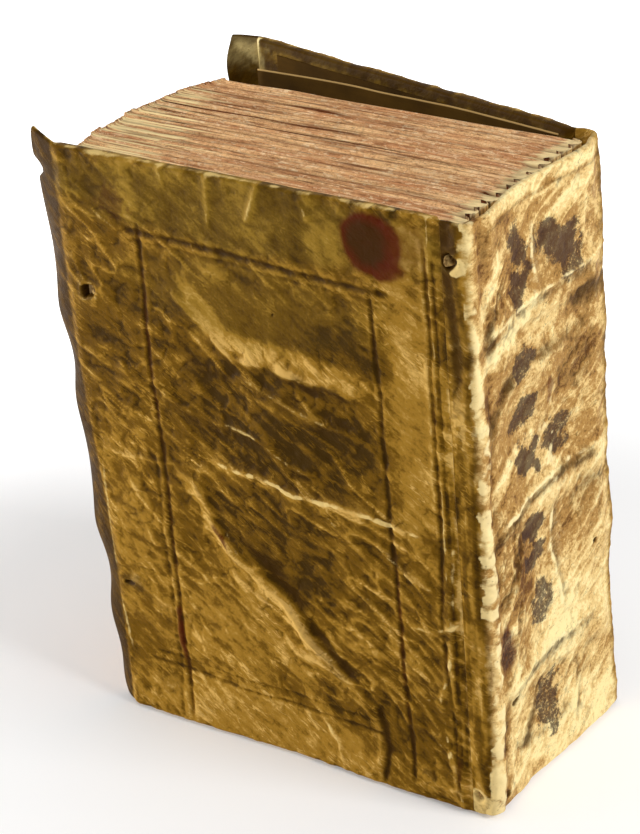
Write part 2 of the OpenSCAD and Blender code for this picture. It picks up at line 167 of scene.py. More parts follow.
class Grain:
    """A smooth random field on a plane, repeatable from its seed."""

    def __init__(self, seed: int) -> None:
        """Fills the table of values between -1 and 1."""
        self.table = np.random.default_rng(seed).uniform(-1, 1, (TABLE, TABLE))

    def at(self, u: np.ndarray, v: np.ndarray) -> np.ndarray:
        """Table values mixed by smooth steps between whole numbers of u and v.

        Args:
            u: first coordinate, one unit per table step.
            v: second coordinate.

        Returns:
            Values between -1 and 1.
        """
        u, v = np.broadcast_arrays(np.asarray(u, float), np.asarray(v, float))
        i, j = np.floor(u).astype(int), np.floor(v).astype(int)
        a, b = ease(u - i), ease(v - j)
        here, beyond = i % TABLE, (i + 1) % TABLE
        low, high = j % TABLE, (j + 1) % TABLE
        near = self.table[here, low] * (1 - b) + self.table[here, high] * b
        far = self.table[beyond, low] * (1 - b) + self.table[beyond, high] * b
        return near * (1 - a) + far * a

    def layered(self, u: np.ndarray, v: np.ndarray, layers: int = 4) -> np.ndarray:
        """Sum of the field at doubling frequencies and halving heights.

        Args:
            u: first coordinate, one unit per table step of the widest layer.
            v: second coordinate.
            layers: how many fields are added.

        Returns:
            Values between about -1 and 1.
        """
        total = np.zeros(np.broadcast(u, v).shape)
        for k in range(layers):
            total = total + self.at(u * 2**k + 17.3 * k, v * 2**k + 9.1 * k) * 0.5**k
        return total / (2 - 0.5 ** (layers - 1))


GRAIN = Grain(7)
FINE = Grain(23)


def smooth_path(points: Places, step: float = 3.0) -> np.ndarray:
    """A Catmull-Rom curve through the points, resampled at even distances.

    Args:
        points: places that the curve passes.
        step: distance between samples.

    Returns:
        Array of samples, (n, 2).
    """
    p = np.array(points, float)
    ends = np.vstack([2 * p[0] - p[1], p, 2 * p[-1] - p[-2]])
    t = np.linspace(0, 1, 16, endpoint=False)[:, None]
    parts = [0.5 * (2 * b + (c - a) * t + (2 * a - 5 * b + 4 * c - d) * t**2 + (3 * b - a - 3 * c + d) * t**3)
             for a, b, c, d in zip(ends[:-3], ends[1:-2], ends[2:-1], ends[3:])]
    dense = np.vstack(parts + [p[-1:]])
    run = np.concatenate([[0], np.cumsum(np.linalg.norm(np.diff(dense, axis=0), axis=1))])
    even = np.linspace(0, run[-1], max(2, int(run[-1] / step) + 1))
    return np.column_stack([np.interp(even, run, dense[:, k]) for k in range(2)])


def path_distance(path: np.ndarray, s: np.ndarray, z: np.ndarray,
                  reach: float = 12.0) -> tuple[np.ndarray, np.ndarray]:
    """Signed distance from each place to a path, and the share along it of the nearest point.

    Each segment gives the distance to its nearest point; the smallest wins. It is positive on
    the left of the path. Places further off than `reach` keep a large distance.

    Args:
        path: samples of the path, (n, 2).
        s: first coordinate of the places.
        z: second coordinate.
        reach: how far from the path's own box the places are worked out.

    Returns:
        Distance and share, each the shape of s.
    """
    low, high = path.min(axis=0) - reach, path.max(axis=0) + reach
    near = (s > low[0]) & (s < high[0]) & (z > low[1]) & (z < high[1])
    a, b = s[near], z[near]
    best = np.full(a.shape, FAR)
    share = np.zeros(a.shape)
    steps = np.diff(path, axis=0)
    lengths = np.linalg.norm(steps, axis=1)
    run = np.concatenate([[0], np.cumsum(lengths)])
    for place, d, length, start in zip(path[:-1], steps, lengths, run):
        ds, dz = a - place[0], b - place[1]
        t = np.clip((ds * d[0] + dz * d[1]) / length**2, 0, 1)
        gap = np.hypot(ds - t * d[0], dz - t * d[1])
        side = np.where(d[0] * dz - d[1] * ds >= 0, 1.0, -1.0)
        nearer = gap < np.abs(best)
        best = np.where(nearer, gap * side, best)
        share = np.where(nearer, (start + t * length) / run[-1], share)
    distance, along = np.full(s.shape, FAR), np.zeros(s.shape)
    distance[near], along[near] = best, share
    return distance, along


def smoothed(values: np.ndarray, rounds: int) -> np.ndarray:
    """Averages values with their neighbours: half stays, a quarter comes from each side, on both axes.

    Args:
        values: the grid of values.
        rounds: how often they are averaged.

    Returns:
        The smoother grid.
    """
    for _ in range(rounds):
        for axis in (0, 1):
            values = 0.5 * values + 0.25 * (np.roll(values, 1, axis) + np.roll(values, -1, axis))
    return values


@dataclass
class Patch:
    """One grid of points in millimetres with what is painted on it."""

    points: np.ndarray
    uv: np.ndarray
    paint: dict[Paint, np.ndarray] = field(default_factory=dict)
    turned: bool = False
    ring: bool = False
    finish: int = 0


def grid_faces(rows: int, cols: int, start: int, turned: bool, ring: bool) -> np.ndarray:
    """Four-sided faces over a grid of points counted row by row.

    Args:
        rows: number of rows.
        cols: number of points in a row.
        start: number of the first point.
        turned: whether the faces look the other way.
        ring: whether each row closes on itself.

    Returns:
        Point numbers, (faces, 4).
    """
    i = np.arange(rows - 1)[:, None]
    j = np.arange(cols if ring else cols - 1)[None, :]
    k = (j + 1) % cols
    corners = (i * cols + j, i * cols + k, (i + 1) * cols + k, (i + 1) * cols + j)
    faces = np.stack(np.broadcast_arrays(*corners), -1).reshape(-1, 4) + start
    return faces[:, ::-1] if turned else faces


def make_piece(name: str, patches: list[Patch], finishes: list[bpy.types.Material]) -> bpy.types.Object:
    """Makes one mesh object of several grids, with its map and what is painted on it.

    Args:
        name: the piece's name.
        patches: its grids, in millimetres.
        finishes: the materials, in slot order.

    Returns:
        The object, linked to the scene at the origin.
    """
    points, uvs, faces, slots = [], [], [], []
    count = 0
    for patch in patches:
        rows, cols = patch.points.shape[:2]
        quads = grid_faces(rows, cols, count, patch.turned, patch.ring)
        points.append(patch.points.reshape(-1, 3))
        uvs.append(patch.uv.reshape(-1, 2))
        faces.append(quads)
        slots.append(np.full(len(quads), patch.finish))
        count += rows * cols
    all_points = np.vstack(points) * MM
    all_faces = np.vstack(faces)
    mesh = bpy.data.meshes.new(name)
    mesh.from_pydata(all_points.tolist(), [], all_faces.tolist())
    layer = mesh.uv_layers.new(name="skin")
    layer.data.foreach_set("uv", (np.vstack(uvs) * MM)[all_faces.ravel()].astype(np.float32).ravel())
    mesh.polygons.foreach_set("material_index", np.concatenate(slots).astype(np.int32))
    mesh.polygons.foreach_set("use_smooth", np.ones(len(all_faces), bool))
    for kind in Paint:
        values = [np.broadcast_to(p.paint.get(kind, 0.0), p.points.shape[:2]).ravel() for p in patches]
        attribute = mesh.attributes.new(kind.value, "FLOAT", "POINT")
        attribute.data.foreach_set("value", np.concatenate(values).astype(np.float32))
    for finish in finishes:
        mesh.materials.append(finish)
    mesh.update()
    piece = bpy.data.objects.new(name, mesh)
    bpy.context.scene.collection.objects.link(piece)
    log.info("%s: %d faces", name, len(all_faces))
    return piece


# What lies on the skin

@dataclass(frozen=True)
class Crease:
    """A sharp fold in the skin: a crest of exp(-distance / width), pale on top from wear and a painted
    highlight, with a painted highlight of strength `light` on the flank away from `side` and painted shade of
    strength `dark` at `reach` towards `side`.
    """

    points: Places
    height: float
    width: float = 1.2
    pale: float = 0.6
    dark: float = 0.5
    side: float = 1.0
    reach: float = 2.0
    light: float = 0.0


@dataclass(frozen=True)
class Groove:
    """A pressed line: a trough of exp(-(distance / width) squared), darker by `dark` and redder by `red`."""

    points: Places
    depth: float = 0.35
    width: float = 0.5
    dark: float = 0.6
    red: float = 0.0
    patchy: float = 0.5


@dataclass(frozen=True)
class Stain:
    """A soft patch of one paint, an ellipse whose rim wanders by `ragged`."""

    kind: Paint
    centre: tuple[float, float]
    size: tuple[float, float]
    strength: float = 1.0
    soft: float = 0.4
    ragged: float = 0.3
    turn: float = 0.0
    grain: float = 4.0


@dataclass(frozen=True)
class Hole:
    """A hole or pit in the skin, a torn ellipse with a raised rim."""

    centre: tuple[float, float]
    size: tuple[float, float]
    depth: float = 1.6
    rim: float = 0.3


@dataclass(frozen=True)
class Wrinkles:
    """Fine folds that run one way within a soft ellipse: ridged noise stretched along the way."""

    centre: tuple[float, float]
    size: tuple[float, float]
    turn: float
    height: float = 0.3
    spacing: float = 3.0
    pale: float = 0.5


Mark = Crease | Groove | Stain | Hole | Wrinkles


class SkinSurface:
    """Adds up what marks do to a stretch of skin: its height, and each paint."""

    def __init__(self, s: np.ndarray, z: np.ndarray) -> None:
        """Starts with bare flat skin at places (s, z).

        Args:
            s: distance from the joint.
            z: height.
        """
        self.s, self.z = s, z
        self.height = np.zeros(s.shape)
        self.paint = {kind: np.zeros(s.shape) for kind in Paint}
        self.waver = 0.6 * GRAIN.layered(s / 5, z / 5, 3)

    def add(self, marks: tuple[Mark, ...]) -> None:
        """Adds each mark by its kind.

        Args:
            marks: what lies on the skin.
        """
        actions = {Crease: self.crease, Groove: self.groove, Stain: self.stain, Hole: self.hole,
                   Wrinkles: self.wrinkles}
        for mark in marks:
            actions[type(mark)](mark)

    def ellipse(self, centre: tuple[float, float], size: tuple[float, float], turn: float) -> np.ndarray:
        """Distance from an ellipse's centre, 1 on its rim, with the ellipse turned by `turn` degrees.

        Args:
            centre: its place.
            size: its two half widths.
            turn: its angle.

        Returns:
            The distance of each place.
        """
        c, k = math.cos(math.radians(turn)), math.sin(math.radians(turn))
        a, b = self.s - centre[0], self.z - centre[1]
        return np.hypot((a * c + b * k) / size[0], (b * c - a * k) / size[1])

    def crease(self, mark: Crease) -> None:
        """Raises a crest, tapered at both ends, and paints its top pale, wear with a painted highlight, a
        painted highlight on one flank and painted shade on the other side.

        Args:
            mark: the fold.
        """
        gap, share = path_distance(smooth_path(mark.points), self.s, self.z)
        gap = gap + self.waver
        taper = ease(share / 0.15) * ease((1 - share) / 0.15)
        uneven = 0.75 + 0.5 * GRAIN.at(self.s / 6 + 40, self.z / 6)
        far = np.minimum(np.abs(gap), 99.0)
        self.height += mark.height * taper * uneven * np.exp(-far / mark.width)
        broken = np.clip(0.7 + 1.5 * FINE.layered(self.s / 2.4, self.z / 2.4, 3), 0.1, 1.3)
        # pale top: wear with a painted highlight
        self.paint[Paint.PALE] += mark.pale * taper * broken * bell(far, 0.42 + 0.18 * mark.width)
        # painted highlight on the flank away from `side`
        lit = np.clip(gap + mark.side * mark.width, -99, 99)
        self.paint[Paint.TONE] += mark.light * taper * bell(lit, 1.5 * mark.width)
        # painted shade towards `side`
        aside = np.clip((gap - mark.side * mark.reach) / mark.reach, -9, 9)
        patchy = 0.8 + 0.4 * GRAIN.at(self.s / 8, self.z / 8)
        self.paint[Paint.DARK] += mark.dark * taper * bell(aside, 1.0) * patchy

    def groove(self, mark: Groove) -> None:
        """Presses a line in, deeper and darker in some places than others.

        Args:
            mark: the line.
        """
        gap, share = path_distance(smooth_path(mark.points, 8.0), self.s, self.z)
        gap = np.clip(gap, -99, 99)
        ends = ease(share / 0.03) * ease((1 - share) / 0.03)
        patchy = 0.5 + GRAIN.layered(self.s / 9, self.z / 9, 3)
        patchy = np.clip(1 - mark.patchy + 1.6 * mark.patchy * patchy, 0.1, 1.5)
        bent = gap + 0.25 * self.waver
        lips = bell(np.abs(gap) - 2.2 * mark.width, mark.width) * ends
        self.height += -mark.depth * bell(bent, mark.width) * ends + 0.25 * mark.depth * lips
        wide = bell(bent, 1.25 * mark.width) * ends
        self.paint[Paint.DARK] += mark.dark * wide * patchy
        self.paint[Paint.RED] += mark.red * wide * patchy

    def paint_relief_shading(self, worn: float, hollow_shade: float) -> None:
        """Paints the relief's light and shade into the tone: what stands proud of its surroundings is made
        lighter, a painted highlight, and the hollows darker, painted shade.

        Args:
            worn: how much lighter a crest 0.3 mm proud becomes, as painted highlight.
            hollow_shade: how much darker a hollow 0.3 mm deep becomes, as painted shade.
        """
        # painted highlight on what stands proud and painted shade in the hollows, against near and wide
        # surroundings
        for rounds, share in ((14, 0.6), (70, 0.4)):
            proud = (self.height - smoothed(self.height, rounds)) / PROUD
            shade = worn * np.clip(proud, 0, 1.6) + hollow_shade * np.clip(proud, -1.6, 0)
            self.paint[Paint.TONE] += share * shade
            self.paint[Paint.DARK] += share * 0.4 * hollow_shade * np.clip(-proud - 0.5, 0, 1)

    def stain(self, mark: Stain) -> None:
        """Paints a soft patch.

        Args:
            mark: the patch.
        """
        rim = self.ellipse(mark.centre, mark.size, mark.turn)
        rim = rim + mark.ragged * FINE.layered(self.s / mark.grain, self.z / mark.grain, 4)
        self.paint[mark.kind] += mark.strength * ease((1 - rim) / mark.soft + 0.5)

    def hole(self, mark: Hole) -> None:
        """Sinks a pit with painted shade at its bottom and a raised rim, painted pale as torn skin with a
        painted highlight.

        Args:
            mark: the hole.
        """
        rim = self.ellipse(mark.centre, mark.size, 0) + 0.5 * FINE.layered(self.s / 2.2, self.z / 2.2, 3)
        inside = ease((1.1 - rim) / 0.35)
        lip = bell(rim - 1.35, 0.25)
        self.height += mark.rim * lip - mark.depth * inside
        # painted shade at the bottom of the pit
        self.paint[Paint.DARK] += 2.2 * inside
        torn = np.clip(1.6 * FINE.layered(self.s / 2 + 9, self.z / 2, 2) + 0.35, 0, 1)
        # pale torn rim with a painted highlight
        self.paint[Paint.PALE] += 0.75 * lip * (1 - inside) * torn

    def wrinkles(self, mark: Wrinkles) -> None:
        """Adds fine folds: (1 - |noise|) to the sixth, stretched six to one along their way, with a painted
        highlight on their tops and painted shade between them.

        Args:
            mark: the folds.
        """
        c, k = math.cos(math.radians(mark.turn)), math.sin(math.radians(mark.turn))
        bent = 2.0 * GRAIN.layered(self.s / 14, self.z / 14, 2)
        a = self.s * c + self.z * k
        b = self.z * c - self.s * k + bent
        ridge = (1 - np.abs(FINE.layered(a / (6 * mark.spacing), b / mark.spacing, 2))) ** 6
        where = ease((1 - self.ellipse(mark.centre, mark.size, 0)) / 0.5)
        self.height += mark.height * ridge * where
        # painted highlight on the fold tops and painted shade between them
        self.paint[Paint.PALE] += 0.8 * mark.pale * ease((ridge - 0.75) / 0.25) * where
        self.paint[Paint.TONE] += 1.4 * mark.pale * ease((ridge - 0.5) / 0.5) * where
        self.paint[Paint.DARK] += 0.35 * mark.pale * ease((0.25 - ridge) / 0.25) * where


@dataclass(frozen=True)
class Crumple:
    """How skin that has come loose from its board lies: swells, folds one way, and small dents."""

    swell: float = 0.9
    folds: float = 0.55
    dents: float = 0.26
    turn: float = 34.0
    seed: float = 0.0
    calm: tuple[tuple[float, float, float, float, float], ...] = ()

    def apply(self, skin: SkinSurface) -> None:
        """Adds the relief and paints its tone: random shades, a painted highlight on the fold tops and
        painted shade in the dents.

        Places are bent by slow noise, so that folds wander. A fold is (1 - |noise|) to the sixth,
        stretched four to one along the turn; a dent is the same turned inwards, at half the size.
        Calm places, ellipses given by centre, size and share, have less of all three.

        Args:
            skin: the stretch of skin that it lies on, changed in place.
        """
        s, z, seed = skin.s, skin.z, self.seed
        bent_s = s + 5.0 * GRAIN.layered(s / 30 + seed, z / 30 + 11, 2)
        bent_z = z + 5.0 * GRAIN.layered(s / 26 + 40, z / 30 + seed, 2)
        c, d = math.cos(math.radians(self.turn)), math.sin(math.radians(self.turn))
        a, b = bent_s * c + bent_z * d, bent_z * c - bent_s * d
        where = ease(0.65 + 1.1 * GRAIN.layered(s / 24 + 70, z / 24 + seed, 2))
        fold = (1 - np.abs(FINE.layered(a / 26 + seed, b / 6.5, 2))) ** 6 * where
        small = (1 - np.abs(GRAIN.layered(a / 11 + 9, b / 2.8 + seed, 2))) ** 6 * (1.1 - 0.6 * where)
        dent = (1 - np.abs(FINE.layered(bent_s / 5.5 + 50, bent_z / 5.5 + seed, 3))) ** 7
        lumps = GRAIN.layered(s / 7 + 30, z / 7 + seed, 3)
        grit = FINE.layered(a / 3.2 + 7, b / 1.9 + seed, 3)
        rough = 1.0
        for place_s, place_z, half_s, half_z, share in self.calm:
            inside = ease(1.5 - 1.5 * skin.ellipse((place_s, place_z), (half_s, half_z), 0))
            rough = rough * (1 - share * inside)
        fold, small, dent = fold * rough, small * rough, dent * (0.3 + 0.7 * rough)
        skin.height += self.swell * (0.5 + GRAIN.layered(s / 24 + 3, z / 20 + seed, 2))
        skin.height += self.folds * (fold + 0.5 * small) - self.dents * dent
        skin.height += 0.3 * lumps * (0.3 + 0.7 * rough)
        skin.height += 0.1 * grit * (0.4 + 0.6 * rough)
        skin.paint[Paint.TONE] += (0.34 * GRAIN.layered(s / 21 + 60, z / 17 + seed, 4)
                                   + 0.3 * FINE.layered(a / 9 + 3, b / 2.6, 3) * (0.4 + 0.6 * rough)
                                   + 0.28 * grit * (0.5 + 0.5 * rough))
        # painted highlight on the fold tops
        skin.paint[Paint.TONE] += 0.5 * ease((fold - 0.7) / 0.3) + 0.3 * ease((small - 0.8) / 0.2)
        # painted shade in the dents
        skin.paint[Paint.DARK] += 0.42 * ease((dent - 0.35) / 0.5) * (0.4 + 0.8 * where)


# The places of the marks, from the photographed side. A row of stains has for each one its centre,
# size, strength, softness, raggedness, turn and grain, and the last ones may be left out.

BACK_CALM = ((56.0, 133.0, 42.0, 12.0, 0.95), (58.0, 161.0, 70.0, 14.0, 0.85), (11.0, 118.0, 9.0, 48.0, 0.8),
             (20.0, 160.0, 11.0, 11.0, 1.0), (66.0, 8.0, 44.0, 11.0, 0.6), (72.0, 36.0, 18.0, 20.0, 0.5),
             (104.0, 30.0, 12.0, 26.0, 0.5), (45.0, 104.0, 30.0, 8.0, 0.4))
BACK_MARKS: tuple[Mark, ...] = (
    Crease(((115, 82.5), (105, 82), (92, 83), (80, 83.5), (75, 83)), 0.7, 0.9, 0.25, 0.9, -1.0, 0.9),
    Crease(((79, 88), (70, 86.5), (60, 86), (50, 84), (45, 84), (32, 84), (19, 82.5), (6, 81)), 1.2, 1.1,
           1.4, 0.9, -1.0, 1.8, 0.3),
    Crease(((91, 80), (83, 80), (79, 73), (76, 65), (70, 59), (63, 54), (55, 49), (50, 42), (45, 37.5),
           (38, 32), (31, 26), (27, 24)), 2.0, 1.9, 0.3, 0.0, -1.0, 2.5, 1.0),
    Crease(((78, 72), (71, 62), (63, 56), (55, 51), (50, 45), (45, 39), (39, 34), (33, 28)), 0.4, 0.9, 0.5,
           0.0),
    Crease(((80, 79), (74, 70), (64, 61), (54, 53), (46, 43), (37, 33), (31, 29)), -0.6, 2.6, 0.0, 1.7,
           -1.0, 1.0),
    Crease(((89, 138), (85, 136.5), (79, 132), (73, 126), (66, 120.5), (55, 119.5), (40, 118.5), (28, 117),
           (20, 116)), 1.1, 1.6, 0.2, 1.3, 1.0, 1.5),
    Crease(((86, 121), (74, 117), (60, 115.5), (46, 113), (34, 110), (24, 108)), -0.3, 2.2, 0.0, 0.9),
    Crease(((66, 115), (56, 113), (48, 110), (36, 107), (25, 104)), 0.9, 1.6, 0.55, 0.8),
    Crease(((74, 100), (70, 99), (65, 98.5), (57, 97), (50, 93), (40, 91)), 1.0, 1.2, 0.75, 0.9, 1.0, 1.8),
    Crease(((93, 109), (87, 104), (80, 100.5), (68, 98)), 0.9, 1.3, 0.45, 1.0, 1.0, 1.8),
    Crease(((93, 97), (86, 94), (80, 90)), 0.6, 1.6, 0.35, 0.6),
    Crease(((92, 118), (84, 112), (76, 108)), 0.5, 1.4, 0.3, 0.6),
    Crease(((28, 26), (25.5, 18), (25, 10), (27, 0)), -0.9, 0.9, 0.0, 1.9, 0.0, 1.2),
    Crease(((32, 28), (28, 22), (27.5, 12), (29, 2)), 0.5, 1.1, 0.4, 0.5, 1.0, 1.5),
    Crease(((24, 78), (19, 71), (12, 68), (4, 64.5)), 0.7, 1.0, 0.65, 0.6, -1.0, 1.5),
    Crease(((42, 82), (36, 78), (30, 74)), 0.6, 1.2, 0.5, 0.6, 1.0, 1.6),
    Crease(((16, 54), (9, 54), (2, 57), (-1, 59)), 0.6, 1.0, 0.75, 0.5, 1.0, 1.4),
    Crease(((48, 19), (44, 13), (41, 7), (40, -1)), 0.6, 0.9, 0.9, 0.5, 1.0, 1.3),
    Crease(((52, 17), (48, 10)), 0.4, 0.9, 0.7, 0.4, 1.0, 1.2),
    Crease(((30, 60), (24, 54), (20, 49)), 0.5, 1.1, 0.45, 0.6, 1.0, 1.6),
    Crease(((44, 64), (37, 56), (33, 52)), 0.4, 1.1, 0.35, 0.5, 1.0, 1.6),
    Crease(((18, 44), (12, 40), (6, 33)), 0.5, 1.1, 0.45, 0.6, 1.0, 1.6),
    Crease(((17, 34), (11, 28), (7, 20)), 0.5, 1.0, 0.5, 0.5, 1.0, 1.6),
    Crease(((83, 171), (82, 164)), 0.6, 0.9, 0.5, 0.6, 1.0, 1.2),
    Crease(((68, 171), (68.5, 165), (69, 155)), 0.9, 1.1, 0.75, 0.8, 1.0, 1.6),
    Crease(((52, 171), (54, 166), (57, 159)), 0.9, 1.1, 0.7, 0.8, 1.0, 1.6),
    Crease(((40, 169), (37, 163)), 0.6, 1.0, 0.6, 0.6, 1.0, 1.3),
    Crease(((96, 171), (95, 165)), 0.5, 1.0, 0.35, 0.5, 1.0, 1.2),
    Crease(((27, 171), (29, 165)), 0.5, 1.0, 0.2, 0.4, 1.0, 1.2),
    Crease(((112, 44), (104, 41), (96, 37), (86, 35)), 0.6, 1.3, 0.5, 0.8, 1.0, 1.8),
    Crease(((108, 70), (101, 64), (97, 55)), 0.5, 1.4, 0.35, 0.5, 1.0, 1.8),
    Crease(((110, 118), (103, 112), (98, 104)), 0.5, 1.4, 0.3, 0.5, 1.0, 1.8),
    Crease(((60, 60), (56, 64), (59, 69), (65, 67), (62, 61)), 0.4, 1.1, 0.25, 0.5, 1.0, 1.2),
    Crease(((66, 44), (61, 49), (60, 54)), 0.3, 0.9, 0.45, 0.3, 1.0, 1.2),
    Crease(((0.5, 96), (1.5, 60), (3, 45), (7, 30), (3.5, 14), (0.5, 4)), 0.6, 1.2, 0.75, 0.6, 1.0, 1.6),
    Groove(((92.4, 154), (92.5, 120), (92.2, 100), (91.8, 60), (92.2, 30), (91, 0)), 0.4, 0.6, 0.65, 0.6),
    Groove(((94.8, 84), (94.6, 60), (94.4, 30), (94.8, 0)), 0.2, 0.5, 0.3, 0.1, 0.9),
    Groove(((20.3, 149), (19.4, 100), (18.3, 60), (17, 3)), 0.4, 0.55, 0.9, 0.4, 0.7),
    Groove(((98, 150), (70, 149.6), (45, 148.6), (14, 147.6)), 0.4, 0.7, 1.0, 0.15),
    Groove(((98, 147.6), (70, 147), (45, 146), (14, 145.2)), 0.15, 0.45, 0.15, 0.0, 0.9),
    Groove(((106, 17.6), (92, 17.5), (70, 17.0), (25, 16.6)), 0.3, 0.5, 0.5, 0.05, 0.8),
    Groove(((104, 20.6), (70, 20.4), (25, 20)), 0.2, 0.4, 0.25, 0.05, 0.9),
    Groove(((4.4, 166), (3.6, 150), (4.2, 120), (3.6, 90), (4.6, 60), (3.4, 30), (2.4, 4)), 0.35, 0.5, 0.6,
           0.5, 0.9),
    Groove(((1.6, 162), (1.9, 120), (1.2, 70), (1.9, 8)), 0.35, 0.5, 0.5, 0.3, 0.9),
    Crease(((5.2, 160), (4.6, 140), (5.2, 110), (5.0, 84)), 0.3, 0.7, 0.55, 0.2, 1.0, 1.2),
    Crease(((3.2, 92), (2.6, 60), (3.4, 30), (1.4, 10)), 0.3, 0.7, 0.4, 0.2, 1.0, 1.2),
    Wrinkles((26, 48), (26, 34), 33, 0.35, 3.4, 0.3),
    Wrinkles((104, 100), (12, 32), 28, 0.3, 3.4, 0.3),
    Wrinkles((60, 92), (40, 30), 26, 0.35, 4.2, 0.3),
    Wrinkles((86, 45), (26, 30), 58, 0.22, 4.6, 0.12),
    Crease(((21, 76), (15, 71), (6, 66)), 0.5, 0.9, 0.5, 0.5, 1.0, 1.4),
    Crease(((20, 36), (12, 33), (5, 29)), 0.5, 0.9, 0.6, 0.6, 1.0, 1.5),
    Crease(((19, 24), (11, 22), (6, 17)), 0.5, 0.9, 0.5, 0.6, 1.0, 1.5),
    Crease(((6, 19), (3.5, 9), (1.5, 0)), 0.6, 1.0, 0.9, 0.4, 1.0, 1.3),
    Crease(((19, 62), (14, 60), (8, 60)), 0.4, 0.9, 0.4, 0.5, 1.0, 1.4),
    Crease(((115.5, 141), (113.6, 136.5), (111.4, 132.6)), 0.5, 0.8, 0.7, 0.3, 1.0, 1.2),
    Hole((110.6, 130.4), (2.5, 1.9), 1.7, 0.35),
    Hole((109.3, 41.0), (1.7, 0.6), 0.9, 0.2),
    Hole((51, 135), (0.5, 0.5), 0.4, 0.0),
    *(Stain(Paint.TONE, *row) for row in (
        # (74, 131.5) and (48, 122.5) are painted highlights on the lit upper side of the ridge under the
        # golden field.
        ((60, 134), (34, 11), -0.2, 0.6, 0.25), ((74, 131.5), (12, 3.0), 1.0, 1.0, 0.3, 50),
        ((48, 122.5), (26, 3.6), 1.15, 0.9, 0.35, 4), ((29, 129), (13, 7), -0.6, 1.0, 0.4),
        ((86, 130), (8, 12), -0.35, 0.9, 0.4), ((42, 110), (18, 3), 0.55, 0.7, 0.4, -12),
        ((60, 104), (36, 14), -0.55, 0.8, 0.4), ((34, 96), (18, 12), -0.35, 0.8, 0.4),
        # (56, 68) is painted shade on the far side of the diagonal fold.
        ((56, 68), (22, 14), -0.6, 0.8, 0.3, 45), ((74, 36), (24, 20), 0.42, 0.8),
        ((106, 62), (9, 30), 0.35, 0.8), ((106, 122), (9, 30), -0.25, 0.8), ((64, 8), (44, 9), 0.6, 0.8),
        ((100, 6), (14, 8), 0.2, 0.8), ((10, 112), (7, 34), 0.5, 0.8), ((10, 136), (8, 16), 0.4, 0.8),
        # (22, 20) and (37, 26) are painted shade on the far side of the diagonal fold's lower end.
        ((22, 20), (12, 16), -0.35, 0.8), ((37, 26), (9, 10), -0.5, 0.8), ((45, 85), (60, 3), 0.2, 0.9),
        ((8.0, 161), (5, 7), 0.9, 0.9), ((98.5, 11.0), (2.0, 2.0), 0.5, 0.35, 0.2, 8, 2.0))),
    *(Stain(Paint.GLOW, *row) for row in (
        ((58, 137), (38, 12), 0.6, 0.6, 0.25), ((62, 161), (66, 10), 0.9, 0.5, 0.2))),
    *(Stain(Paint.DARK, *row) for row in (
        ((70, 153), (40, 2.2), 0.45, 1.2, 0.5), ((114, 120), (3.4, 52), 0.55, 1.2, 0.5),
        ((16, 150), (20, 8), 0.35, 1.2, 0.4), ((20.5, 161), (5.8, 6.0), 1.6, 0.9, 0.15),
        ((99.5, 157), (3.6, 4.5), 0.75, 1.2, 1.8, 0, 1.6), ((107.5, 41.5), (4, 2.6), 0.9, 0.8, 0.6, 0, 2.0),
        ((41, 115.5), (2.6, 1.1), 1.2, 0.7, 0.8, 15, 1.4), ((34, 117.3), (3.2, 1.0), 1.0, 0.7, 0.8, 8, 1.4),
        # (57, 58) and (42, 36) are painted shade on the far side of the diagonal fold.
        ((30, 133), (9, 2), 0.7, 0.9, 0.6, 8), ((57, 58), (13, 3.5), 0.9, 0.9, 0.4, 45),
        ((42, 36), (10, 3.0), 0.8, 0.9, 0.4, 45), ((98.5, 11.0), (3.5, 3.8), 0.6, 0.35, 0.2, 8, 2.0),
        ((12, 8.5), (2.2, 1.4), 1.1, 0.5, 0.8, 0, 1.0), ((111.4, 129.6), (2.6, 3.0), 0.9, 0.9, 0.6, 0, 2.0))),
    *(Stain(Paint.RED, *row) for row in (
        ((19.6, 160.5), (6.6, 6.6), 4.4, 1.1, 0.1), ((14.5, 154), (5, 2.5), 1.2, 0.9, 0.5),
        ((8.5, 161.5), (5.5, 7), 0.7, 0.9), ((99.5, 157), (4, 5), 0.6, 1.2, 1.6, 0, 1.6),
        ((74.5, 63.5), (6.5, 0.7), 1.2, 0.9, 0.6, 52, 1.8), ((93.0, 29), (0.9, 9), 1.2, 1.0, 0.5),
        ((18, 50), (0.8, 26), 0.5, 1.0, 0.6))),
    *(Stain(Paint.PALE, *row) for row in (
        ((104, 152.4), (6, 0.5), 0.6, 0.9, 0.5, 30), ((114.3, 60), (0.7, 22), 0.7, 0.9, 0.4),
        ((112.5, 26), (0.8, 9), 0.8, 0.9, 0.4, -8))),
)

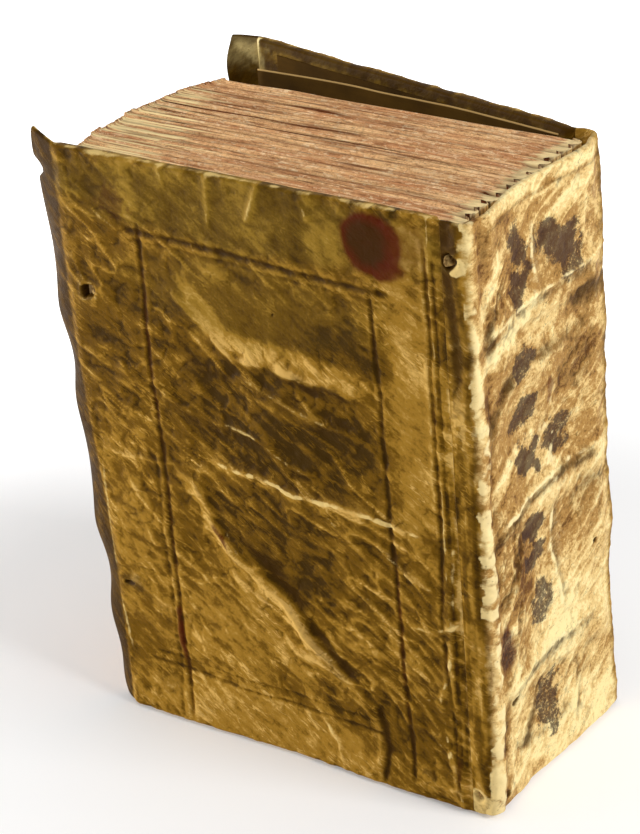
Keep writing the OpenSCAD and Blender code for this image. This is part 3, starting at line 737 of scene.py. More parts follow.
FRONT_MARKS: tuple[Mark, ...] = (
    Crease(((100, 52), (80, 50), (60, 42), (40, 34), (20, 30)), 1.2, 1.6, 0.6, 0.9, 1.0, 2.5),
    Crease(((112, 118), (90, 112), (66, 105), (40, 100), (14, 98)), 1.0, 1.4, 0.7, 0.8),
    Crease(((84, 92), (60, 84), (38, 78)), 0.8, 1.2, 0.5, 0.7, 1.0, 1.6),
    Crease(((30, 171), (31, 163), (29, 156)), 0.8, 1.0, 0.6, 0.6, 1.0, 1.4),
    Crease(((70, 0), (66, 9), (60, 16)), 0.7, 1.0, 0.7, 0.6, 1.0, 1.4),
    Groove(((94.3, 150), (94.3, 80), (94.3, 0)), 0.4, 0.7, 0.75, 0.4),
    Groove(((91.7, 150), (91.7, 80), (91.7, 0)), 0.25, 0.5, 0.35, 0.2),
    Groove(((19.3, 150), (19.3, 80), (19.3, 3)), 0.35, 0.7, 0.75, 0.5),
    Groove(((16.7, 150), (16.7, 80), (16.7, 3)), 0.2, 0.5, 0.3, 0.2),
    Groove(((104, 150.5), (14, 150.5)), 0.35, 0.7, 0.8, 0.1),
    Groove(((104, 147.9), (14, 147.9)), 0.2, 0.5, 0.3),
    Groove(((104, 17.7), (14, 17.7)), 0.3, 0.6, 0.7),
    Groove(((104, 20.3), (14, 20.3)), 0.2, 0.5, 0.4),
    Groove(((2.6, 165), (2.6, 8)), 0.45, 0.6, 0.8, 0.4),
    Wrinkles((40, 50), (34, 30), 30, 0.35, 3.4, 0.4),
    Wrinkles((90, 110), (26, 30), 30, 0.3, 3.6, 0.3),
    Hole((108.6, 130), (2.4, 2.2), 1.4),
    Hole((108.6, 40), (2.4, 2.2), 1.4),
    *(Stain(Paint.TONE, *row) for row in (
        ((60, 120), (40, 26), 0.4, 0.8), ((50, 64), (40, 20), -0.45, 0.8))),
    Stain(Paint.DARK, (34, 140), (5, 4), 0.8, 0.8, 0.5),
    # painted glow of light through the flap's upper corner
    Stain(Paint.GLOW, (126, 168), (10, 14), 1.1, 1.6, 0.5),
)


# The skin, worked out in one set of rows so that its stretches meet

class SkinRows:
    """Rows that run over the skin from its turned-in end at the tail to that at the head.

    On the face the height z is e + (h - 2 e) t, with e the radius of the edge. At each end the row
    goes round a quarter circle, across the edge, round another and down the inner side.
    """

    def __init__(self, face_rows: int, inner_rows: int) -> None:
        """Lays the rows out.

        Args:
            face_rows: rows on the outer face.
            inner_rows: rows on each turned-in margin.
        """
        quarter = np.linspace(0, np.pi / 2, 5)[1:]
        inner = np.linspace(0, 1, inner_rows)[1:]
        zero = np.zeros
        # shares of the edge radius up and inwards, of the straight edge, and of the inner length
        up = np.concatenate([1 - np.sin(quarter), 1 - np.cos(quarter), np.ones(inner_rows - 1), [1.0]])
        first = np.concatenate([1 - np.cos(quarter), np.ones(4 + inner_rows)])
        across = np.concatenate([zero(4), np.ones(4 + inner_rows)])
        last = np.concatenate([zero(4), np.sin(quarter), np.ones(inner_rows)])
        down = np.concatenate([zero(8), inner, [1.0]])
        lip = np.concatenate([zero(8 + inner_rows - 1), [1.0]])
        blank, one = zero(face_rows), np.ones(len(up))
        self.face_share = np.concatenate([0 * one, np.linspace(0, 1, face_rows), one])
        self.up = np.concatenate([up[::-1], np.ones(face_rows), up])
        self.end = np.concatenate([-one, blank, one])
        self.first, self.across, self.last, self.down, self.lip = (
            np.concatenate([shares[::-1], blank, shares]) for shares in (first, across, last, down, lip))

    def place(self, low: np.ndarray, high: np.ndarray, thick: np.ndarray,
              inner: float) -> tuple[np.ndarray, np.ndarray, np.ndarray]:
        """Height, depth inwards and share of the outer relief, for each row and column.

        Args:
            low: height of the tail edge at each column.
            high: height of the head edge at each column.
            thick: thickness of the edge at each column.
            inner: length turned in.

        Returns:
            z, depth and relief share, each (rows, columns).
        """
        radius = np.minimum(EDGE, 0.45 * thick)[None, :]
        face, up, end, first, across, last, down, lip = (
            shares[:, None] for shares in (self.face_share, self.up, self.end, self.first, self.across,
                                           self.last, self.down, self.lip))
        rise = radius * up + inner * down
        z = np.where(end < 0, low + rise, np.where(end > 0, high - rise,
                                                   low + radius + (high - low - 2 * radius) * face))
        depth = radius * (first + last) + (thick[None, :] - 2 * radius) * across - 0.6 * lip
        relief = np.where(end == 0, 1.0, 1 - ease(depth / 1.2))
        return z, depth, relief


ROWS = SkinRows(face_rows=340, inner_rows=10)
# Where two stretches of skin meet beside a joint, and how far from there they are made alike
SEAM = 0.8
SEAM_FADE = 2.2
# Thickness of the skin's edge at the joint and on the flap, and the deepest hollow that it can take
JOINT_THICK = 2 * SIZES.skin_t
FLAP_THICK = 1.45
HOLLOW = 0.62
# Height that parts the map's head half from its tail half
UV_MIDDLE = 80


def head_line(u: np.ndarray) -> np.ndarray:
    """Height of the skin's head edge at distance u from the back joint towards the front cover."""
    over_spine = ease((u + 6) / 6) * ease((SPINE.run + 6 - u) / 6)
    return SIZES.cover_h - 0.3 * over_spine + 0.22 * GRAIN.layered(u / 9 + 5, u * 0 + 3.5, 3)


def tail_line(u: np.ndarray) -> np.ndarray:
    """Height of the skin's tail edge at distance u from the back joint towards the front cover."""
    over_spine = ease((u - 2) / 5) * ease((SPINE.run - 2 - u) / 5)
    return 0.12 + over_spine * (0.7 + 0.6 * GRAIN.layered(u / 7 + 50, u * 0 + 8.5, 3))


def seam_height(z: np.ndarray) -> np.ndarray:
    """Relief that two stretches of skin share where they meet."""
    return 0.25 * GRAIN.layered(z / 9, z * 0 + 77.5, 3)


def low_part(z: np.ndarray) -> np.ndarray:
    """1 on the lower part of the spine's near corner, easing to 0 where the fold sharpens above."""
    return 1 - ease((z - 100) / 30)


def joint_channel(u: np.ndarray, z: np.ndarray) -> np.ndarray:
    """The channel between the near cover and the spine's near ridge, deep in its upper part, where painted
    shade darkens it.
    """
    centre = 3.0 + 1.6 * GRAIN.layered(z / 19, z * 0 + 31.5, 2)
    return bell(u - centre, 1.9) * (0.2 + 0.8 * ease((z - 116) / 18))


def joint_streaks(u: np.ndarray, z: np.ndarray) -> np.ndarray:
    """Shades of the worn strip beside the near ridge, drawn out along its height, and a lighter golden patch
    on it, a painted highlight on the lit side of the corner.

    Args:
        u: distance from the back joint towards the front cover.
        z: height.

    Returns:
        The change of tone.
    """
    where = ease((u + 6) / 4) * ease((8 - u) / 3) * ease((128 - z) / 20)
    # a painted highlight on the lit side of the corner
    golden = bell(u - 3.5, 4) * bell(z - 119, 9)
    return where * (1.4 * FINE.layered(u / 1.5, z / 13, 3) - 0.1) + 1.1 * golden


class SpineLine:
    """The spine skin's outline from above, from the back joint to the front joint.

    It is the solids' own outline: a smooth curve through a few points at each corner, resampled
    at even distances. Each point has its direction outwards.
    """

    near: Places = ((-5.0, 0), (-3.6, 0.05), (-1.4, 0.1), (0.6, 0.25), (2.3, 1.1), (3.1, 3), (2.7, 5.6),
                    (2.0, 9), (1.5, 16), (1.1, 24))
    far: Places = ((-5.0, 0), (-3.4, 0.05), (-1.4, 0.15), (0.5, 0.5), (2.0, 1.8), (2.7, 4), (2.6, 7.5),
                   (2.3, 12), (1.8, 19))

    def __init__(self, step: float) -> None:
        """Draws the outline.

        Args:
            step: distance between its points.
        """
        points = tuple((SIZES.spine_x + a, b - SIZES.face_y) for a, b in self.near)
        points += tuple((SIZES.spine_x + a, SIZES.face_y - b) for a, b in reversed(self.far))
        line = smooth_path(points, step)
        self.run = float(np.sum(np.linalg.norm(np.diff(line, axis=0), axis=1)))
        self.u = np.linspace(0, self.run, len(line))
        self.x, self.y = line[:, 0], line[:, 1]
        ahead = np.gradient(line, axis=0)
        ahead /= np.linalg.norm(ahead, axis=1)[:, None]
        self.out = np.column_stack([ahead[:, 1], -ahead[:, 0]])


SPINE = SpineLine(0.5)


def on_spine(mark: Mark) -> Mark:
    """Turns a mark's first coordinates from y, through the thickness, to u along the spine skin.

    Args:
        mark: a mark at places (y, z).

    Returns:
        The mark at places (u, z).
    """
    def along(place: tuple[float, float]) -> tuple[float, float]:
        """The place with u in place of y."""
        return float(np.interp(place[0], SPINE.y, SPINE.u)), place[1]

    if isinstance(mark, (Crease, Groove)):
        return replace(mark, points=tuple(along(place) for place in mark.points))
    return replace(mark, centre=along(mark.centre))


@dataclass
class Cover:
    """One cover's skin: face, turned-over fore-edge and turned-in margins.

    Depths are counted inwards from the outer face: the inner side starts at `inner_from` and is darkened
    by `inner_shade`, painted shade, and the pale line along the edge is at `rim`.
    """

    side: Side
    body: str
    flap_turn: float
    marks: tuple[Mark, ...]
    columns: int
    crumple: Crumple
    tip_rise: float = 2.6
    notch: float = 0.3
    flap_columns: int = 15
    inner_rows: int = 130
    bend: float = 2.6
    inner_from: float = 2.4
    inner_shade: float = 0.5
    rim: float = 1.3
    rim_pale: float = 1.05
    flap_inner: float = 1.3

    @property
    def gape(self) -> float:
        """Angle in degrees at which this cover stands open."""
        return 0.0 if self.side is Side.BACK else SIZES.gape

    def fold(self, z: np.ndarray) -> np.ndarray:
        """Distance of the fore-edge fold from the joint at height z."""
        share = (z - 0.2 * SIZES.cover_h) / (0.55 * SIZES.cover_h)
        return SIZES.fold_tail + (SIZES.fold_head - SIZES.fold_tail) * ease(share)

    def flap_width(self, z: np.ndarray) -> np.ndarray:
        """Width of the turned-over part: a wave along the height, cut round at the tail.

        Args:
            z: height.

        Returns:
            The width at each height.
        """
        h = SIZES.cover_h
        wave = SIZES.flap_w + 1.7 * np.cos(2 * np.pi * (z - 0.34 * h) / (0.54 * h))
        wave = wave + 0.7 * degrees_sine(16 * z)
        round_end = 0.35 + 0.65 * np.sqrt(1 - (1 - np.clip(z / 8, 0, 1)) ** 2)
        return wave * round_end * (1 - self.notch * bump(z, h - 9, 0.5, 3))

    def flap_angle(self, z: np.ndarray) -> np.ndarray:
        """Angle in radians by which the fore-edge is turned over at height z."""
        turn = self.flap_turn * (1 - 0.6 * ease((z - SIZES.cover_h + 12) / 12)) + 4 * degrees_sine(11 * z)
        return np.radians(turn)

    def base(self, run: np.ndarray, z: np.ndarray) -> tuple[np.ndarray, ...]:
        """The bare outer face in the cover's own plane.

        Args:
            run: distance along the skin, as a share: up to 1 on the face, 1 to 2 on the flap.
            z: height of each point.

        Returns:
            s, depth, extra height, and the two parts of the direction inwards.
        """
        fold = self.fold(z)
        face = np.clip(run, None, 1.0)
        k = np.clip(run - 1, 0.0, 1.0)
        angle = self.flap_angle(z)
        lean = angle * (0.6 + 0.4 * k)
        width = self.flap_width(z)
        s = -SEAM + (fold + SEAM) * face + k * width * np.cos(lean)
        d = np.where(run > 1, 0.03 + k * width * np.sin(lean), 0.0)
        rise = self.tip_rise * ease((z - SIZES.cover_h + 4) / 4) * k
        over = np.where(run >= 1, angle * ease(k / 0.15), 0.0)
        return s, d, rise, -np.sin(over), np.cos(over)

    def along(self, run: np.ndarray, z: np.ndarray) -> np.ndarray:
        """Distance along the skin in millimetres from the joint."""
        fold = self.fold(z)
        return -SEAM + (fold + SEAM) * np.clip(run, None, 1) + np.clip(run - 1, 0, 1) * self.flap_width(z)

    def thickness(self, run: np.ndarray, s: np.ndarray) -> np.ndarray:
        """Thickness of the edge: two skins at the joint, board and skins, two skins on the flap."""
        body = JOINT_THICK + (SIZES.inner_d - JOINT_THICK) * ease((s + 0.3) / 1.7)
        return body + (FLAP_THICK - body) * ease((run - 0.985) / 0.03)

    def to_world(self, s: np.ndarray, d: np.ndarray, z: np.ndarray) -> np.ndarray:
        """Puts places (s, d, z) of the shut cover in the row frame and swings them to where it stands.

        Each point turns about the joint by the gape times its share of the bend.

        Args:
            s: distance from the joint.
            d: depth under the outer face.
            z: height.

        Returns:
            Points in millimetres, with a last axis of three.
        """
        sign = -1.0 if self.side is Side.BACK else 1.0
        x = SIZES.joint_x - s
        y = sign * (SIZES.face_y - d)
        share = ease((s + SEAM) / (self.bend + SEAM))
        angle = -np.radians(self.gape) * share
        rx, ry = x - SIZES.joint_x, y - sign * SIZES.face_y
        return np.stack([SIZES.joint_x + rx * np.cos(angle) - ry * np.sin(angle),
                         sign * SIZES.face_y + rx * np.sin(angle) + ry * np.cos(angle), z + 0 * s], -1)

    def surface(self, along: np.ndarray, z: np.ndarray) -> SkinSurface:
        """The relief and paint of the outer face.

        Args:
            along: distance along the skin from the joint.
            z: height.

        Returns:
            The face with everything that lies on it.
        """
        skin = SkinSurface(along, z)
        tone, pale, dark, red, bone = (skin.paint[kind] for kind in (Paint.TONE, Paint.PALE, Paint.DARK,
                                                                     Paint.RED, Paint.BONE))
        below_head = SIZES.cover_h - z
        self.crumple.apply(skin)
        skin.add(self.marks)
        skin.paint_relief_shading(0.55, 0.75)
        tone -= 0.12
        dark *= 0.8
        skin.height = np.where(skin.height < 0, -HOLLOW * np.tanh(-skin.height / HOLLOW), skin.height)
        skin.height -= 1.0 * np.clip(dark - 2.0, 0, 1)
        skin.height *= ease((along + 1) / 3) * ease((self.fold(z) - along) / 3 + 0.3)
        ripple = GRAIN.layered(along / 4.2, z * 0 + 12.5, 2) * np.exp(-below_head / 5)
        skin.height += 0.45 * ripple * ease((along - 1) / 5)
        skin.height += (seam_height(z) - skin.height) * (1 - ease((along + SEAM) / SEAM_FADE))
        worn = np.clip(0.1 + 1.1 * FINE.layered(along / 5, z / 5, 3), 0, 0.8)
        pale += worn * (np.exp(-np.abs(below_head) / 0.7) + 0.5 * np.exp(-np.abs(z) / 1.2))
        # painted shade on the turned-over flap, which faces away from the lamps
        flap = ease((along - self.fold(z) - 0.3) / 1.5)
        dark += 0.9 * flap
        tone -= 0.7 * flap
        bone += 0.35 * (1 - ease((along + SEAM) / 2.5))
        if self.side is Side.FRONT:
            # painted shade along the far cover's head
            dark += 0.9 * ease((3 - below_head) / 3)
            return skin
        tone += 0.7 * GRAIN.layered(along / 7 + 3, z / 60, 2) * ease((z - 149) / 6)
        tone += joint_streaks(-along, z)
        # painted shade in the joint channel, warmed with red
        channel = joint_channel(-along, z)
        dark += 1.5 * channel
        red += 0.55 * channel
        bone *= 1 - channel
        beyond = bell(along - 2.9, 0.5) * ease((z - 60) / 20)
        pale += 0.75 * beyond * np.clip(0.7 + 1.4 * FINE.layered(along / 3, z / 5, 3), 0, 1)
        return skin

    def outer_patch(self) -> Patch:
        """The outer face with its flap, carried round the head and tail edges to the inner side.

        Returns:
            The grid with its paint.
        """
        back = self.side is Side.BACK
        run = np.concatenate([np.linspace(0, 1, self.columns), 1 + np.linspace(0, 1, self.flap_columns)[1:]])
        middle = np.full(run.shape, SIZES.cover_h / 2)
        u = -self.along(run, middle)
        high, low = head_line(u), tail_line(u)
        thick = self.thickness(run, -u)
        z, depth, share = ROWS.place(low, high, thick, SIZES.turn_in)
        runs = np.broadcast_to(run[None, :], z.shape)
        along = self.along(runs, z)
        skin = self.surface(along, z)
        s, d, rise, ns, nd = self.base(runs, z)
        inner_wave = 0.12 * GRAIN.layered(along / 7, z / 7 + 30, 2)
        inward = depth + (1 - share) * inner_wave - skin.height * share
        s, d = s + ns * inward, d + nd * inward
        inside = ease(depth - self.inner_from)
        # painted shade on the inner side
        skin.paint[Paint.DARK] += inside * self.inner_shade
        skin.paint[Paint.GLOW] += inside * 0.7
        broken = np.clip(0.75 + 1.4 * FINE.layered(along / 4, z * 0 + 9.5, 4), 0.3, 1.2)
        rim = np.clip(1.6 * bell(depth - self.rim, self.rim) - 0.6, 0, 1) * broken
        skin.paint[Paint.DARK] *= 1 - 0.8 * np.clip(rim, 0, 1)
        skin.paint[Paint.TONE] += 0.5 * rim
        for kind in (Paint.RED, Paint.PALE):
            skin.paint[kind] *= 0.25 + 0.75 * share
        skin.paint[Paint.PALE] += self.rim_pale * rim
        if not back:
            self.light_corner(skin.paint, self.fold(z) + self.flap_width(z) - along, z, inside)
        across = -along if back else SPINE.run + along
        uv = np.stack([across, z + depth * np.where(z > UV_MIDDLE, 1, -1)], -1)
        return Patch(self.to_world(s, d, z + rise), uv, skin.paint, turned=back)

    def light_corner(self, paint: dict[Paint, np.ndarray], from_tip: np.ndarray, z: np.ndarray,
                     where: np.ndarray | float) -> None:
        """Paints the inner side beyond the board, where light comes through the skin.

        The margin's mitred end lies over the flap's upper corner, so the part above the line
        z = 168.8 - 0.85 r, at r from the flap's edge, is two skins thick and cream, and below it olive.

        Args:
            paint: the inner side's paints, changed in place.
            from_tip: distance of each point from the flap's edge.
            z: height of each point.
            where: 1 on the inner side, 0 elsewhere.
        """
        clear = where * (1 - ease((from_tip - 9.6) / 1.6)) * ease((z - 140) / 14)
        above = z - 168.8 + 0.85 * from_tip + 0.5 * GRAIN.at(from_tip / 3, z / 4)
        lit = ease(above / 0.9)
        paint[Paint.DARK] = paint[Paint.DARK] * (1 - clear) + clear * (1 - lit) * 0.22
        paint[Paint.TONE] = paint[Paint.TONE] * (1 - clear) + clear * (0.7 + 0.9 * lit)
        paint[Paint.GLOW] = paint[Paint.GLOW] * (1 - clear) + clear * (1.12 + 0.9 * lit)
        paint[Paint.BONE] = paint.get(Paint.BONE, 0.0) * (1 - clear) + clear * lit
        paint[Paint.PALE] = paint.get(Paint.PALE, 0.0) * (1 - clear) + clear * (lit + 0.9 * bell(above, 0.4))

    def inner_patch(self) -> Patch:
        """The flap's inner side and the margin turned in along the fore-edge.

        Returns:
            The grid with its paint.
        """
        z = EDGE + (SIZES.cover_h - 2 * EDGE) * np.linspace(0, 1, self.inner_rows)[:, None]
        tip = np.linspace(0, 1, 4)[None, :]
        back = np.linspace(1, 0.1, 10)[None, 1:]
        flat = np.linspace(0, 1, 12)[None, :]
        inner = self.flap_inner
        s1, d1, rise1, ns, nd = self.base(2.0 + 0 * tip * z, z + 0 * tip)
        s1, d1 = s1 + ns * inner * tip, d1 + nd * inner * tip
        s2, d2, rise2, ns, nd = self.base(1 + back + 0 * z, z + 0 * back)
        s2, d2 = s2 + ns * inner, d2 + nd * inner
        end = SIZES.board_end + 1.2
        s3 = end - (SIZES.turn_in + 1.2) * flat + 0.5 * GRAIN.layered(z / 12, flat * 0 + 3.5, 2)
        d3 = SIZES.inner_d - 0.12 + 0 * s3
        s = np.hstack([s1, s2, s3, s3[:, -1:]])
        d = np.hstack([d1, d2, d3, d3[:, -1:] - 0.6])
        rise = np.hstack([rise1, rise2, 0 * s3, 0 * s3[:, -1:]])
        sign = 1 if self.side is Side.FRONT else -1
        steps = np.hypot(np.diff(s, axis=1, prepend=s[:, :1]), np.diff(d, axis=1, prepend=d[:, :1]))
        run = 150 + np.cumsum(steps, axis=1)
        # the inner side is darkened with painted shade
        paint = {Paint.DARK: 0.8 + 0 * s, Paint.TONE: 0.4 * GRAIN.layered(s / 8, z / 8, 3) - 0.5,
                 Paint.GLOW: 0.7 + 0 * s}
        if self.side is Side.FRONT:
            self.light_corner(paint, np.abs(run) - 151.3, z, 1.0)
        return Patch(self.to_world(s, d, z + rise + 0 * s), np.stack([sign * run, z + 0 * s], -1), paint,
                     turned=self.side is Side.BACK)

    def build(self, finish: bpy.types.Material) -> bpy.types.Object:
        """Makes the skin, bent at the joint to the cover's gape.

        Args:
            finish: the vellum.

        Returns:
            The finished piece.
        """
        patches = [self.outer_patch(), self.inner_patch()]
        piece = make_piece(f"{self.side.value}_cover_vellum", patches, [finish])
        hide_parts(f"{self.side.value}_cover_skin")
        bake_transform(piece)
        return piece


SPINE_MARKS: tuple[Mark, ...] = tuple(on_spine(mark) for mark in (
    Crease(((-31, 81), (-24, 82.5), (-8, 86), (10, 87), (28, 86)), 0.6, 1.3, 0.9, 1.1, -1.0, 1.8),
    Crease(((-30, 136), (-10, 139), (8, 140), (26, 139)), 0.6, 1.3, 0.7, 0.9, -1.0, 1.8),
    Crease(((-28, 33), (-14, 36.5), (0, 37.5), (24, 37)), 0.6, 1.3, 0.9, 1.0, -1.0, 1.8),
    Crease(((-22, 118), (-6, 121), (12, 120), (26, 122)), 0.5, 1.6, 0.4, 0.9, 1.0, 2.2),
    Crease(((-28, 108), (-20, 113), (-14, 122)), 0.7, 1.6, 0.4, 0.9, 1.0, 2.2),
    Crease(((-26, 58), (-17, 66), (-12, 76)), 0.7, 1.4, 0.5, 1.0, 1.0, 2.2),
    Crease(((-20, 44), (-16, 52), (-16, 62)), 0.6, 1.0, 0.6, 0.8, 1.0, 1.8),
    Crease(((-10, 30), (-12, 22), (-18, 12)), 0.6, 1.4, 0.5, 0.9, 1.0, 2.2),
    Crease(((2, 80), (1, 66), (4, 50), (3, 42)), 0.5, 1.0, 0.8, 0.8, 1.0, 1.6),
    Crease(((-2, 160), (-3, 148), (0, 140)), 0.4, 0.8, 0.6, 0.5, 1.0, 1.4),
    Crease(((8, 30), (10, 18), (7, 8)), 0.5, 1.4, 0.6, 0.7),
    Crease(((-24, 14), (-8, 10), (10, 13)), 0.4, 1.2, 0.5, 0.6),
    Wrinkles((-20, 60), (9, 30), 75, 0.3, 2.8, 0.3),
    Wrinkles((-20, 140), (9, 20), 50, 0.3, 3.2, 0.3),
    Wrinkles((14, 62), (18, 26), 40, 0.15, 3.2, 0.35),
    Wrinkles((0, 18), (34, 20), 60, 0.15, 3.2, 0.3),
    Hole((-22, 31), (1.6, 1.3), 1.0, 0.2),
    Hole((20.5, 58), (0.8, 0.8), 0.9, 0.15),
    Hole((-27, 5), (1.0, 0.8), 0.7, 0.1),
    *(Stain(Paint.INK, *row) for row in (
        ((-9.5, 156), (3.4, 7), 1.0, 0.7, 0.8, 8, 5), ((-9, 144), (4.4, 6), 0.95, 0.7, 0.8, -12),
        ((7, 150), (9.5, 6.5), 1.0, 0.7, 0.8, -14, 5), ((15, 143), (5, 5), 0.8, 0.9, 1.0, 20, 3),
        ((-10, 124), (5.5, 5), 0.9, 0.7, 0.9, 20), ((-9, 110), (6.5, 3.6), 0.95, 0.7, 0.8, 20),
        ((-9, 96), (5.5, 6), 1.05, 0.6, 0.8, 5), ((6, 97), (8, 4.6), 0.9, 0.8, 1.0, 10),
        ((-7, 76), (5.5, 4.5), 1.0, 0.6, 0.9, 0, 3), ((-8, 66), (5.5, 3.4), 0.9, 0.7, 0.9, 25, 3),
        ((-5, 54), (5.5, 5.5), 0.85, 0.8, 1.1, 0, 3), ((-24, 47), (3, 5.5), 0.6, 0.6, 0.8),
        ((-3, 20), (5, 9), 0.8, 0.6, 1.0, 0, 3))),
    *(Stain(Paint.RED, *row) for row in (
        ((-24, 47), (3.5, 7), 1.2, 0.8, 0.6), ((3, 111), (1.4, 3.4), 1.0, 0.8, 0.8, 0, 2))),
    *(Stain(Paint.PALE, *row) for row in (
        ((3, 62), (4, 26), 0.5, 1.0, 1.6, 0, 1.8), ((0, 104), (5, 12), 0.45, 1.0, 1.6, 0, 1.8),
        ((-2, 146), (2.0, 14), 0.5, 1.0, 1.4, 0, 1.8))),
    *(Stain(Paint.TONE, *row) for row in (
        ((-23, 150), (11, 3.2), 1.1, 1.0, 0.6, 48, 3), ((-19, 132.5), (13, 3.4), 1.2, 1.0, 0.6, 20, 3),
        ((16, 161), (12, 2.4), 0.9, 0.8, 0.5, 25, 3), ((-20, 96), (9, 2.4), 0.9, 0.8, 0.5, 40, 3),
        ((14, 72), (15, 22), -0.45, 0.9, 0.5), ((-20, 148), (8, 22), -0.4, 0.9, 0.5),
        ((4, 150), (18, 14), -0.35, 0.9, 0.5), ((20, 132), (10, 6), -0.6, 0.9, 0.5, -10),
        ((15, 114), (13, 9), -0.6, 0.9, 0.5), ((-20, 118), (7, 34), -0.15, 0.9, 0.4),
        ((-16, 78), (9, 20), -0.4, 0.9, 0.4), ((-15, 58), (7, 18), -0.7, 0.9, 0.4),
        ((-8, 22), (9, 12), -0.45, 0.9, 0.5), ((16, 28), (12, 9), -0.4, 0.9, 0.5),
        ((10, 46), (16, 12), 0.3, 0.9, 0.5), ((6, 10), (20, 9), 0.3, 0.9, 0.5))),
    *(Stain(Paint.DARK, *row) for row in (
        ((-21, 144), (8, 1.6), 0.7, 0.8, 0.5, 45, 3), ((17, 113), (11, 6), 0.5, 0.9, 0.9, 10, 3),
        ((18, 76), (9, 8), 0.45, 0.9, 0.9, 10, 3), ((22, 130), (8, 3), 0.8, 0.9, 0.7, -12, 3))),
)) + (
    Hole((2.7, 159.7), (2.2, 1.9), 1.7, 0.15),
    Hole((2.9, 6.0), (1.5, 1.4), 1.5, 0.25),
    *(Stain(Paint.PALE, *row) for row in (
        ((2.9, 4), (5, 4), 0.9, 0.9, 1.2, 0, 2.4), ((4.4, 157.4), (2.4, 1.4), 0.9, 0.6, 0.7, 30, 2.0))),
    # painted shade at the head of the joint channel, beside the thong hole
    Stain(Paint.DARK, (1.6, 163), (2.6, 7), 1.2, 0.7, 0.5, 0, 3.0),
)


